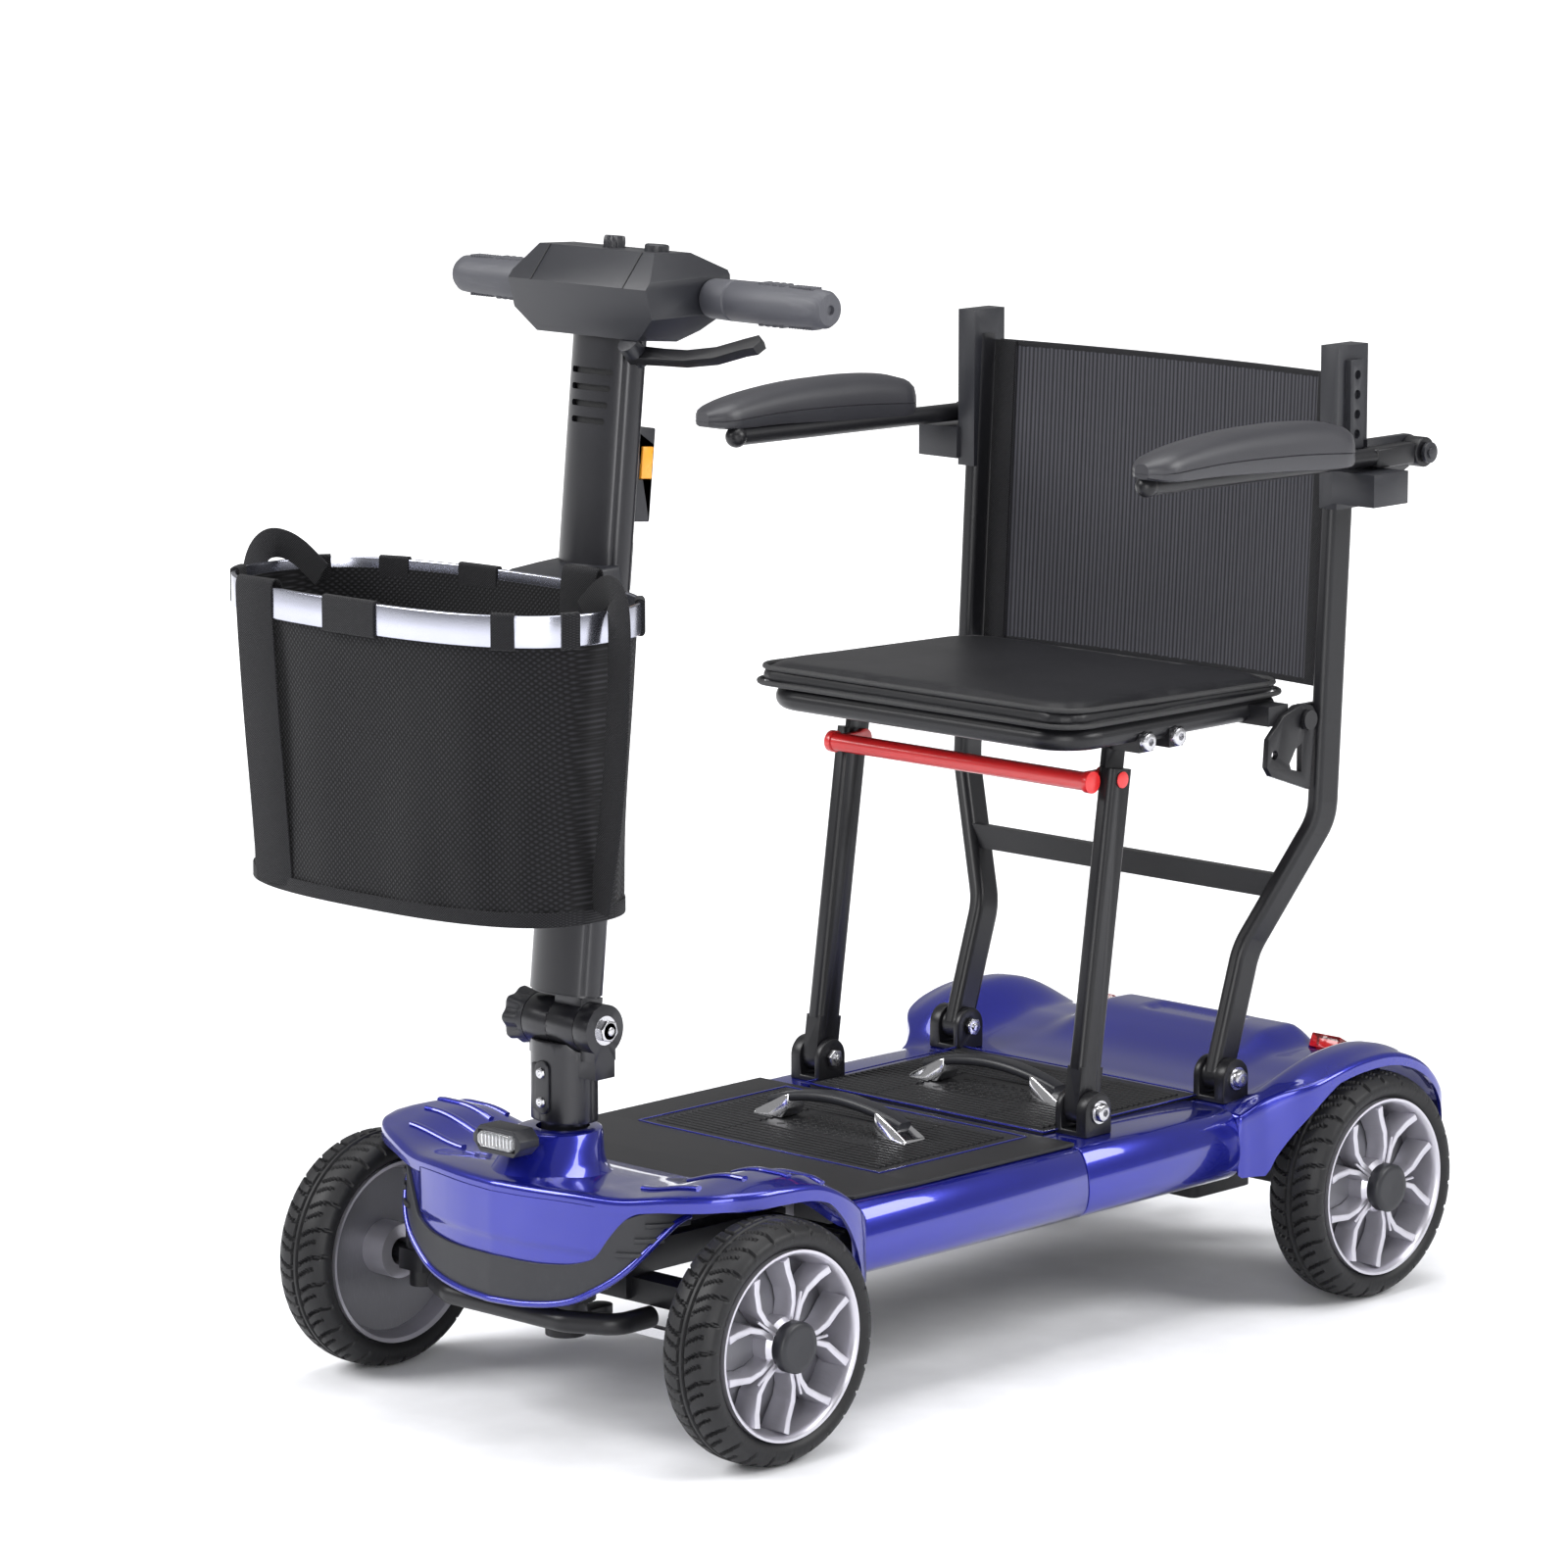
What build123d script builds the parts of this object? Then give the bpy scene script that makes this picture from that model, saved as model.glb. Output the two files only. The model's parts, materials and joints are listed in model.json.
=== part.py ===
"""Folding four-wheel mobility scooter, in millimetres.

+Z is up, the front faces -Y and the rider's left is +X.  The origin is on the floor under the middle of
the scooter's box.
"""
from build123d import *
from math import atan2, cos, degrees, hypot, pi, radians, sin
import os

os.makedirs("parts", exist_ok=True)

# ---- driving dimensions ----
box_shift = 47.5           # the box's middle lies this far ahead of mid-wheelbase
wheelbase = 746.0
wheel_radius = 100.0
wheel_plane = 224.0        # centre plane of a wheel from the middle of the scooter
tyre_half_width = 27.0
rim_radius = 78.0
axle_radius = 8.0
running_gap = 0.05         # radial clearance of a shaft in its bore
kingpin_x = 175.0
steer_arm = 40.0

deck_bottom = 122.0
deck_top = 181.0
deck_half_width = 199.0
lid_half_width = 136.0
wall = 4.0

column_y = -378.0
hinge_z = 326.0
tiller_lean = 5.8          # degrees back from vertical
tiller_wide = 72.0
tiller_deep = 43.0

pivot_z = 202.0
leg_pivot_y = 84.7
post_pivot_y = 265.0
arm_length = 316.0
leg_lean = 8.2
leg_x = 152.0
leg_wide = 16.0
leg_deep = 29.0
bolt_radius = 5.0

seat_half_width = 191.0
seat_front = 22.0
seat_rear = 322.0
rail_x = 171.0
rail_z = 524.0
rail_radius = 10.0

post_x = 206.0
post_wide = 15.0
flip_y = 422.0
flip_z = 738.0
arm_x = 235.0
pad_x = 251.0


def st(y):
    """A station measured back from mid-wheelbase, in the part's frame."""
    return y + box_shift


front_axle = st(-wheelbase / 2)
rear_axle = st(wheelbase / 2)
pin_y = st(leg_pivot_y + arm_length * sin(radians(leg_lean)))
pin_z = pivot_z + arm_length * cos(radians(leg_lean))
back_pin_y = pin_y + post_pivot_y - leg_pivot_y
sides = (1, -1)


def across(x, y, z):
    """A plane whose normal runs along +X, with its own x along +Y and y along +Z."""
    return Plane(origin=(x, y, z), x_dir=(0, 1, 0), z_dir=(1, 0, 0))


def pin_along_x(x_from, x_to, y, z, radius, mode=Mode.ADD):
    """A round bar along X, joined to the part being built."""
    with BuildSketch(across(min(x_from, x_to), y, z)) as face:
        Circle(radius)
    extrude(face.sketch, amount=abs(x_to - x_from), mode=mode)


def bore_along_x(x_from, x_to, y, z, radius):
    """A round hole along X, cut from the part being built."""
    pin_along_x(x_from, x_to, y, z, radius, mode=Mode.SUBTRACT)


def slab(x_from, x_to, y_from, y_to, z_from, z_to, mode=Mode.ADD):
    """A rectangular block between two corners."""
    with BuildSketch(Plane.XY.offset(z_from)) as face:
        with Locations(((x_from + x_to) / 2, (y_from + y_to) / 2)):
            Rectangle(abs(x_to - x_from), y_to - y_from)
    extrude(face.sketch, amount=z_to - z_from, mode=mode)


def side_plate(x_from, x_to, points, mode=Mode.ADD):
    """A flat plate across X whose outline is given in Y and Z."""
    with BuildSketch(across(min(x_from, x_to), 0, 0)) as face:
        with BuildLine():
            Polyline(*points, close=True)
        make_face()
    extrude(face.sketch, amount=abs(x_to - x_from), mode=mode)


def save(piece, name):
    piece.part.label = name
    export_step(piece.part, f"parts/{name}.step")


# ---- wheels ----
def tyre(x, y):
    with BuildPart() as piece:
        with BuildSketch(Plane(origin=(x, y, wheel_radius), x_dir=(1, 0, 0), z_dir=(0, -1, 0))):
            with BuildLine():
                shoulder = tyre_half_width
                Polyline((-21, rim_radius + 0.4), (-shoulder, 84), (-shoulder + 1.5, 92))
                ThreePointArc((-shoulder + 1.5, 92), (0, wheel_radius), (shoulder - 1.5, 92))
                Polyline((shoulder - 1.5, 92), (shoulder, 84), (21, rim_radius + 0.4))
                Line((21, rim_radius + 0.4), (-21, rim_radius + 0.4))
            make_face()
        revolve(axis=Axis((x, y, wheel_radius), (1, 0, 0)))
    return piece


def rim(x, y, side):
    """A dished five-arm rim with its hub bored for the axle, and the hub cap outside it."""
    spokes = 5
    hub_radius = 20.0
    with BuildPart() as piece:
        with BuildSketch(Plane(origin=(x, y, wheel_radius), x_dir=(1, 0, 0), z_dir=(0, -1, 0))):
            with BuildLine():
                out = side * 26.0
                back = -side * 25.0
                Polyline((out, 70.5), (out, rim_radius), (back, rim_radius), (back, 74), (out * 0.7, 72),
                         (out, 70.5))
            make_face()
        revolve(axis=Axis((x, y, wheel_radius), (1, 0, 0)))
        pin_along_x(x - side * 25, x + side * 20, y, wheel_radius, hub_radius)
        with BuildSketch(across(x + (side * 8 if side > 0 else -18), y, wheel_radius)):
            for turn in range(spokes):
                angle = 90 + turn * 360 / spokes
                stem = Vector(cos(radians(angle)), sin(radians(angle)))
                with BuildLine():
                    Line(stem * 12, stem * 44)
                trace(line_width=13)
                for fork in (-1, 1):
                    tip = angle + fork * 25
                    with BuildLine():
                        Line(stem * 42, Vector(cos(radians(tip)), sin(radians(tip))) * 73.5)
                    trace(line_width=9)
        extrude(amount=10)
        pin_along_x(x + side * 20, x + side * 37, y, wheel_radius, hub_radius + 1)
        bore_along_x(x - side * 26, x + side * 22, y, wheel_radius, axle_radius + running_gap)
    return piece


corners = {
    "front_left": (1, front_axle),
    "front_right": (-1, front_axle),
    "rear_left": (1, rear_axle),
    "rear_right": (-1, rear_axle),
}
for corner, (side, axle_y) in corners.items():
    save(tyre(side * wheel_plane, axle_y), f"tyre_{corner}")
    save(rim(side * wheel_plane, axle_y, side), f"rim_{corner}")

# ---- main frame: deck rails, cross members, head tube, front beam and rear bearers ----
head_tube_radius = 25.0
column_radius = 19.0
head_tube_low = 96.0
head_tube_high = 208.0
eye_low = 108.5
eye_high = 132.0
with BuildPart() as main_frame:
    for side in sides:
        slab(side * 150, side * 175, st(-232), st(232), 126, 156)
        slab(side * 100, side * 125, st(228), st(452), 140, 160)
        slab(side * 60, side * 84, st(-368), st(-206), 130, 156)
        slab(side * 40, side * 170, front_axle - 13, front_axle + 13, 110, 130)
        with BuildSketch(Plane.XY.offset(eye_low)):
            with Locations((side * kingpin_x, front_axle)):
                Circle(14)
        extrude(amount=eye_high - eye_low)
    for y in (-228, 29, 228):
        slab(-175, 175, st(y) - 10, st(y) + 10, 128, 154)
    slab(-125, 125, st(440), st(460), 140, 160)
    slab(-84, 84, st(-378) - 14, st(-378) + 14, 112, 156)
    with BuildSketch(Plane.XY.offset(head_tube_low)):
        with Locations((0, st(column_y))):
            Circle(head_tube_radius)
    extrude(amount=head_tube_high - head_tube_low)
    with Locations((0, st(column_y), head_tube_high)):
        Hole(column_radius + running_gap, depth=head_tube_high - head_tube_low)
    with Locations(*[(side * kingpin_x, front_axle, eye_high) for side in sides]):
        Hole(axle_radius + running_gap, depth=eye_high - eye_low)
save(main_frame, "main_frame")

# ---- steering: column, pitman arm, knuckles and tie rod ----
arm_low = 76.0
arm_high = 84.0
rod_low = 66.0
stub_low = 247.0
hinge_radius = 21.0
tilt_plane = Plane(origin=(0, st(column_y), hinge_z), x_dir=(1, 0, 0),
                   z_dir=(0, sin(radians(tiller_lean)), cos(radians(tiller_lean))))


def oval(wide, deep):
    """A tube section: an ellipse, wide across X."""
    Ellipse(wide / 2, deep / 2)


with BuildPart() as column_stub:
    with BuildSketch(Plane.XY.offset(arm_high)):
        with Locations((0, st(column_y))):
            Circle(column_radius)
    extrude(amount=stub_low - arm_high)
    with BuildSketch(Plane.XY.offset(stub_low)):
        with Locations((0, st(column_y))):
            oval(61, 48)
    extrude(amount=313 - stub_low)
    slab(-12, 4, st(column_y) - 25, st(column_y) - 20, 257, 295)
    slab(20, 47, st(column_y) - 11, st(column_y) + 11, 286, 312)
    bore_along_x(-40, 31, st(column_y), hinge_z, hinge_radius + 1)
    for x_from, x_to in ((-28, -1), (31, 47)):
        pin_along_x(x_from, x_to, st(column_y), hinge_z, hinge_radius)
        slab(x_from, x_to, st(column_y) - 12, st(column_y) + 12, 300, hinge_z)
    pin_along_x(-1, 31, st(column_y), hinge_z, bolt_radius)
    pin_along_x(47, 53, st(column_y), hinge_z, 7)
save(column_stub, "column_stub")

with BuildPart() as steering_arm:
    with BuildSketch(Plane.XY.offset(arm_low)):
        with Locations((0, st(column_y))):
            Circle(22)
        with Locations((0, st(column_y) + steer_arm)):
            Circle(10)
        with Locations((0, st(column_y) + steer_arm / 2)):
            Rectangle(18, steer_arm)
    extrude(amount=arm_high - arm_low)
    with BuildSketch(Plane.XY.offset(rod_low - 4)):
        with Locations((0, st(column_y) + steer_arm)):
            Circle(4)
    extrude(amount=arm_high - rod_low)
    with BuildSketch(Plane.XY.offset(rod_low)):
        with Locations((0, st(column_y))):
            Circle(17)
    extrude(amount=arm_low - rod_low)
save(steering_arm, "steering_arm")

for side, name in zip(sides, ("knuckle_left", "knuckle_right")):
    with BuildPart() as knuckle:
        with BuildSketch(Plane.XY.offset(90)):
            with Locations((side * kingpin_x, front_axle)):
                Circle(14)
        extrude(amount=18)
        with BuildSketch(Plane.XY.offset(100)):
            with Locations((side * kingpin_x, front_axle)):
                Circle(axle_radius)
        extrude(amount=34)
        with BuildSketch(Plane.XY.offset(eye_high + 0.5)):
            with Locations((side * kingpin_x, front_axle)):
                Circle(13)
        extrude(amount=8)
        pin_along_x(side * kingpin_x, side * (wheel_plane + 21), front_axle, wheel_radius, axle_radius)
        slab(side * kingpin_x - 14, side * kingpin_x + 14, front_axle - 14, front_axle + 14, 90, 108)
        slab(side * kingpin_x - 9, side * kingpin_x + 9, front_axle, front_axle + steer_arm, arm_low, arm_high)
        with BuildSketch(Plane.XY.offset(arm_low)):
            with Locations((side * kingpin_x, front_axle)):
                Circle(11)
            with Locations((side * kingpin_x, front_axle + steer_arm)):
                Circle(9)
        extrude(amount=arm_high - arm_low)
        with BuildSketch(Plane.XY.offset(arm_high)):
            with Locations((side * kingpin_x, front_axle)):
                Circle(11)
        extrude(amount=90 - arm_high)
        with BuildSketch(Plane.XY.offset(rod_low - 4)):
            with Locations((side * kingpin_x, front_axle + steer_arm)):
                Circle(4)
        extrude(amount=arm_low - rod_low + 4)
    save(knuckle, name)

rod_ends = [(side * kingpin_x, front_axle + steer_arm) for side in sides]
rod_eyes = rod_ends + [(0, st(column_y) + steer_arm)]
with BuildPart() as tie_rod:
    with BuildSketch(Plane.XY.offset(rod_low)):
        with Locations((0, front_axle + steer_arm)):
            Rectangle(2 * kingpin_x, 9)
        with Locations(*rod_eyes):
            Circle(9)
    extrude(amount=8)
    with Locations(*[(x, y, rod_low + 8) for x, y in rod_eyes]):
        Hole(4 + running_gap, depth=8)
save(tie_rod, "tie_rod")

# ---- rear drive and anti-tip gear ----
with BuildPart() as transaxle:
    slab(-70, 70, rear_axle - 42, rear_axle + 38, 66, 138)
    for side in sides:
        pin_along_x(side * 70, side * 190, rear_axle, wheel_radius, 16)
        pin_along_x(side * 190, side * (wheel_plane + 21), rear_axle, wheel_radius, axle_radius)
    pin_along_x(-60, 30, rear_axle - 58, 104, 30)
    fillet(transaxle.edges().filter_by(Axis.Z).group_by(Axis.Z)[0].filter_by(
        lambda e: abs(e.center().X) > 60), 8)
    for side in sides:
        slab(side * 100, side * 125, rear_axle - 22, rear_axle + 22, 108, 140)
save(transaxle, "transaxle")

tip_x = 88.0
tip_y = st(497)
tip_z = 60.0
tip_radius = 26.0
with BuildPart() as antitip_bracket:
    for side in sides:
        side_plate(side * 72, side * 78, [(st(446), 139.5), (st(462), 139.5), (st(505), 66), (st(503), 52),
                                          (st(492), 50), (st(484), 62), (st(446), 112)])
        slab(side * 66, side * 104, st(440), st(460), 134, 139.9)
        pin_along_x(side * 70, side * 99, tip_y, tip_z, 5)
        pin_along_x(side * 97, side * 101, tip_y, tip_z, 9)
    slab(-78, 78, st(455), st(461), 120, 139.5)
save(antitip_bracket, "antitip_bracket")
for side, name in zip(sides, ("antitip_wheel_left", "antitip_wheel_right")):
    with BuildPart() as small_wheel:
        pin_along_x(side * 80, side * 96, tip_y, tip_z, tip_radius)
        chamfer(small_wheel.edges().filter_by(GeomType.CIRCLE), 3)
        bore_along_x(side * 80, side * 96, tip_y, tip_z, 5 + running_gap)
    save(small_wheel, name)

# ---- bodywork ----
deck_section = [(192, deck_bottom), (deck_half_width, 134), (deck_half_width, 158), (193, 174), (186, deck_top)]


def deck_outline(inset):
    """Half the deck's cross section, pulled in by a wall."""
    return [(x - inset, max(z, deck_bottom + inset) if z < 150 else z - inset) for x, z in deck_section]


with BuildPart() as deck_shell:
    for start, end in ((st(-238), st(42)), (st(42.6), st(238))):
        with BuildSketch(Plane(origin=(0, end, 0), x_dir=(1, 0, 0), z_dir=(0, -1, 0))):
            with BuildLine():
                right = deck_section
                left = [(-x, z) for x, z in reversed(deck_section)]
                Polyline(*right, *left, close=True)
            make_face()
            with BuildLine():
                right = deck_outline(3.0)
                left = [(-x, z) for x, z in reversed(right)]
                Polyline(*right, *left, close=True)
            make_face(mode=Mode.SUBTRACT)
        extrude(amount=end - start)
    slab(-3, 3, st(42), st(42.6), deck_bottom + 0.2, deck_bottom + 2.8)
    slab(-lid_half_width, lid_half_width, st(-150), st(26), 170, 190, mode=Mode.SUBTRACT)
    slab(-lid_half_width, lid_half_width, st(54), st(238), 170, 190, mode=Mode.SUBTRACT)
save(deck_shell, "deck_shell")

arch_x = 225.0
front_arch = [(-239, 122), (-241, 150), (-247, 180), (-262, 203), (-290, 216), (-330, 222), (-372, 223),
              (-405, 214), (-432, 200), (-452, 184)]
front_arch_inside = [(-452, 178), (-432, 194), (-405, 208), (-372, 215), (-330, 215), (-293, 209), (-268, 197),
                     (-254, 176), (-248, 148), (-246, 122)]
cowl_top = [(-262, 186), (-300, 196), (-345, 204), (-400, 208), (-440, 210), (-462, 209), (-470, 109)]


def stations(points):
    return [(st(y), z) for y, z in points]


def plan(points, z_from, z_to, mode):
    """A block over an outline that is mirrored across the middle plane."""
    with BuildSketch(Plane.XY.offset(z_from)) as face:
        with BuildLine():
            right = [(x, st(y)) for x, y in points]
            left = [(-x, st(y)) for x, y in reversed(points) if x > 0]
            Polyline(*right, *left, close=True)
        make_face()
    extrude(face.sketch, amount=z_to - z_from, mode=mode)


with BuildPart() as front_cover:
    side_plate(-150, 150, stations(cowl_top + [(-388, 109), (-388, 150), (-262, 150)]))
    plan([(150, -262), (150, -405), (118, -440), (60, -458), (0, -462)], 100, 230, Mode.INTERSECT)
    plan([(146, -240), (146, -403), (116, -435), (59, -453), (0, -457)], 100, 184.3, Mode.SUBTRACT)
    side_plate(-145.6, 145.6, stations([(-255, 180), (-300, 190), (-345, 198), (-400, 202), (-440, 204),
                                    (-450, 180), (-255, 140)]), mode=Mode.SUBTRACT)
    for side in sides:
        side_plate(side * 140, side * arch_x, stations(front_arch + front_arch_inside))
    plan([(arch_x, -239), (arch_x, -385), (180, -421), (118, -441), (0, -470)], 110, 260, Mode.INTERSECT)
    for side in sides:
        slab(side * 140, side * 199, st(-262), st(-239), 122, 186)
    slab(-110, 110, st(-262), st(-240), 176, 180.5)
    with BuildSketch(Plane.XY.offset(200)):
        with Locations((0, st(-397))):
            Ellipse(46, 55)
    with BuildSketch(Plane.XY.offset(240)):
        with Locations((0, st(-384))):
            Ellipse(28, 29)
    loft()
    with BuildSketch(Plane.XY.offset(150)):
        with Locations((0, st(column_y))):
            Circle(26)
    extrude(amount=100, mode=Mode.SUBTRACT)
    for side in sides:
        for rib, y in enumerate((-382, -350, -318)):
            slab(side * (132 + 4 * rib), side * 212, st(y) - 3, st(y) + 3, 216, 225)
save(front_cover, "front_cover")

with BuildPart() as bumper_panel:
    side_plate(-170, 170, stations([(-380, 170), (-436, 116), (-475, 114), (-475, 178), (-436, 190), (-380, 202)]))
    plan([(153, -380), (153, -409), (121, -445), (62, -463), (0, -467)], 120, 260, Mode.INTERSECT)
    plan([(150.3, -370), (150.3, -405.2), (118.3, -440.4), (60, -458.4), (0, -462.4)], 120, 260, Mode.SUBTRACT)
    slab(-104, 104, st(-480), st(-380), 149, 260, mode=Mode.SUBTRACT)
save(bumper_panel, "bumper_panel")

bumper_z = 101.0
with BuildPart() as bumper_bar:
    with BuildLine():
        FilletPolyline((106, st(-386), bumper_z), (106, st(-424), bumper_z), (66, st(-445), bumper_z),
                       (-66, st(-445), bumper_z), (-106, st(-424), bumper_z), (-106, st(-386), bumper_z),
                       radius=20)
    with BuildSketch(Plane(origin=(106, st(-386), bumper_z), x_dir=(1, 0, 0), z_dir=(0, -1, 0))):
        Circle(9)
    sweep()
save(bumper_bar, "bumper_bar")

rear_arch = [(239, 122), (243, 150), (254, 180), (280, 204), (330, 217), (380, 220), (425, 210), (458, 188),
             (480, 160), (488, 143)]
rear_arch_inside = [(482, 141), (474, 158), (452, 183), (421, 203), (380, 212), (333, 210), (285, 198),
                    (261, 176), (250, 148), (246, 122)]
rear_top = [(238.5, 181), (284, 181), (330, 190), (380, 198), (430, 196), (455, 184), (472, 165), (474, 150)]
rear_under = [(236, 177), (285, 177), (331, 186), (380, 194), (428, 192), (451, 181), (467, 162), (470, 130)]
plateau_top = [(305, 183), (395, 214), (428, 214), (462, 178), (400, 170)]
plateau_under = [(320, 180), (396, 209), (425, 209), (453, 180), (400, 160)]
arch_start = 184.0
arch_end = 237.0
with BuildPart() as rear_body:
    side_plate(-arch_start, arch_start, stations(rear_top + [(238.5, 150)]))
    side_plate(-104, 104, stations(plateau_top))
    side_plate(-180, 180, stations(rear_under + [(236, 130)]), mode=Mode.SUBTRACT)
    side_plate(-100, 100, stations(plateau_under), mode=Mode.SUBTRACT)
    slab(-lid_half_width, lid_half_width, st(238), st(254), 160, 190, mode=Mode.SUBTRACT)
    for side in sides:
        side_plate(side * (arch_start - 2), side * arch_end, stations(rear_arch + rear_arch_inside))
        slab(side * 148, side * 199, st(238.5), st(262), 122, 179)
    slab(-50, 50, st(397), st(432), 206, 230, mode=Mode.SUBTRACT)
    slab(-54, 54, st(393), st(436), 202, 206)
    for side in sides:
        slab(side * 84.5, side * 124, st(438), st(480), 131, 161, mode=Mode.SUBTRACT)
save(rear_body, "rear_body")

plate_top = 184.5
with BuildPart() as footboard:
    plan([(183, 41), (183, -219), (140, -236), (118, -261), (100, -296), (0, -296)], deck_top, plate_top, Mode.ADD)
    slab(-118, 118, st(-300), st(-239), deck_top, 189, mode=Mode.SUBTRACT)
    plan([(118, -239), (118, -261), (100, -261), (0, -261)], deck_top, plate_top, Mode.ADD)
    slab(-lid_half_width - 0.5, lid_half_width + 0.5, st(-150.5), st(26.5), 170, 190, mode=Mode.SUBTRACT)
save(footboard, "footboard")


def battery_lid(y_from, y_to):
    """A ribbed lid with a plain skirt that drops into its opening."""
    with BuildPart() as piece:
        slab(-lid_half_width + 0.6, lid_half_width - 0.6, y_from, y_to, 178.2, plate_top)
        rows = int((y_to - y_from - 12) / 8)
        with BuildSketch(Plane.XY.offset(plate_top)):
            with Locations((0, (y_from + y_to) / 2)):
                with GridLocations(0, 8, 1, rows):
                    Rectangle(2 * lid_half_width - 16, 4)
        extrude(amount=1.2)
    return piece


save(battery_lid(st(-149.4), st(25.4)), "front_battery_lid")
save(battery_lid(st(54.6), st(253.4)), "rear_battery_lid")

handle_half = 80.0
handle_rows = (st(-53), st(143))
with BuildPart() as handle_feet:
    for y in handle_rows:
        for side in sides:
            with BuildSketch(Plane.XY.offset(plate_top + 1.2)):
                with Locations((side * (handle_half - 14), y)):
                    Rectangle(36, 22)
            extrude(amount=12, taper=14)
save(handle_feet, "handle_feet")

foot_top = plate_top + 13.2
with BuildPart() as lid_handles:
    for y in handle_rows:
        with BuildSketch(Plane(origin=(0, y + 9, 0), x_dir=(1, 0, 0), z_dir=(0, -1, 0))):
            with BuildLine():
                outer = ThreePointArc((-70, foot_top), (0, foot_top + 15), (70, foot_top))
                inner = ThreePointArc((-58, foot_top), (0, foot_top + 6), (58, foot_top))
                Line(outer @ 0, inner @ 0)
                Line(outer @ 1, inner @ 1)
            make_face()
        extrude(amount=18)
save(lid_handles, "lid_handles")

with BuildPart() as battery_packs:
    slab(-124, 124, st(-146), st(16), 127, 174)
    slab(-98, 98, st(56), st(214), 127, 174)
    fillet(battery_packs.edges().filter_by(Axis.Z), 8)
save(battery_packs, "battery_packs")

with BuildPart() as controller_box:
    slab(-46, 46, st(-216), st(-156), 128, 164)
    for fin in range(8):
        slab(-40, 40, st(-213 + 7 * fin), st(-210 + 7 * fin), 164, 172)
save(controller_box, "controller_box")

lamp_y = st(-455)
with BuildPart() as headlight_housing:
    with BuildSketch(Plane(origin=(0, lamp_y, 240), x_dir=(1, 0, 0), z_dir=(0, 1, 0))):
        Rectangle(54, 22)
        chamfer(vertices(), 8)
    extrude(amount=22)
    slab(-10, 10, lamp_y + 21, st(-404), 229, 239)
    slab(-21, 21, lamp_y - 1, lamp_y + 4, 233, 247, mode=Mode.SUBTRACT)
    add(front_cover.part, mode=Mode.SUBTRACT)
save(headlight_housing, "headlight_housing")
with BuildPart() as headlight_lens:
    with BuildSketch(Plane(origin=(0, lamp_y - 2, 240), x_dir=(1, 0, 0), z_dir=(0, 1, 0))):
        Rectangle(41, 13.2)
        chamfer(vertices(), 4)
    extrude(amount=5.6)
save(headlight_lens, "headlight_lens")

with BuildPart() as tail_lights:
    for side in sides:
        side_plate(side * 116, side * 148, stations([(431, 196.2), (455.2, 184.4), (458, 196), (436, 208)]))
save(tail_lights, "tail_lights")

# ---- seat brackets on the deck ----
bracket_half = 16.5
base_top = 186.0


def hinge_rows():
    return [(side, y) for side in sides for y in (st(leg_pivot_y), st(post_pivot_y))]


with BuildPart() as seat_brackets:
    for side, y in hinge_rows():
        slab(side * 137, side * 172, y - bracket_half, y + bracket_half, deck_top, base_top)
        for x_from, x_to in ((137, 143.4), (160.6, 172)):
            slab(side * x_from, side * x_to, y - bracket_half, y + bracket_half, base_top, pivot_z)
            pin_along_x(side * x_from, side * x_to, y, pivot_z, bracket_half)
        bore_along_x(side * 136, side * 173, y, pivot_z, bolt_radius)
save(seat_brackets, "seat_brackets")

with BuildPart() as pivot_bolts:
    for side, y in hinge_rows():
        pin_along_x(side * 131, side * 172, y, pivot_z, bolt_radius)
        pin_along_x(side * 172, side * 174, y, pivot_z, 10)
        pin_along_x(side * 174, side * 180, y, pivot_z, 7.5)
        pin_along_x(side * 131, side * 137, y, pivot_z, 8)
save(pivot_bolts, "pivot_bolts")


# ---- front legs and release bar ----
def lean_plane(x, y, z, angle):
    """A plane across a member that leans back from vertical, with its own x along X."""
    return Plane(origin=(x, y, z), x_dir=(1, 0, 0), z_dir=(0, sin(radians(angle)), cos(radians(angle))))


def along_leg(distance):
    return (st(leg_pivot_y) + distance * sin(radians(leg_lean)), pivot_z + distance * cos(radians(leg_lean)))


latch_y, latch_z = along_leg(281)
with BuildPart() as front_legs:
    for side in sides:
        low_y, low_z = along_leg(0)
        with BuildSketch(lean_plane(side * leg_x, low_y, low_z, leg_lean)):
            Rectangle(leg_wide, 27)
        extrude(amount=36)
        pin_along_x(side * (leg_x - leg_wide / 2), side * (leg_x + leg_wide / 2), low_y, low_z, 13.5)
        tube_y, tube_z = along_leg(34)
        with BuildSketch(lean_plane(side * leg_x, tube_y, tube_z, leg_lean)):
            RectangleRounded(leg_wide, leg_deep, 6)
        extrude(amount=256)
        neck_y, neck_z = along_leg(270)
        with BuildSketch(lean_plane(side * 147, neck_y, neck_z, leg_lean)):
            Rectangle(6, 24)
        extrude(amount=arm_length - 270)
        pin_along_x(side * 144, side * 150, pin_y, pin_z, 12)
        bore_along_x(side * 140, side * 165, low_y, low_z, bolt_radius + running_gap)
        bore_along_x(side * 140, side * 165, pin_y, pin_z, bolt_radius + running_gap)
        bore_along_x(side * 140, side * 165, latch_y, latch_z, 4 + running_gap)
save(front_legs, "front_legs")

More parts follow.
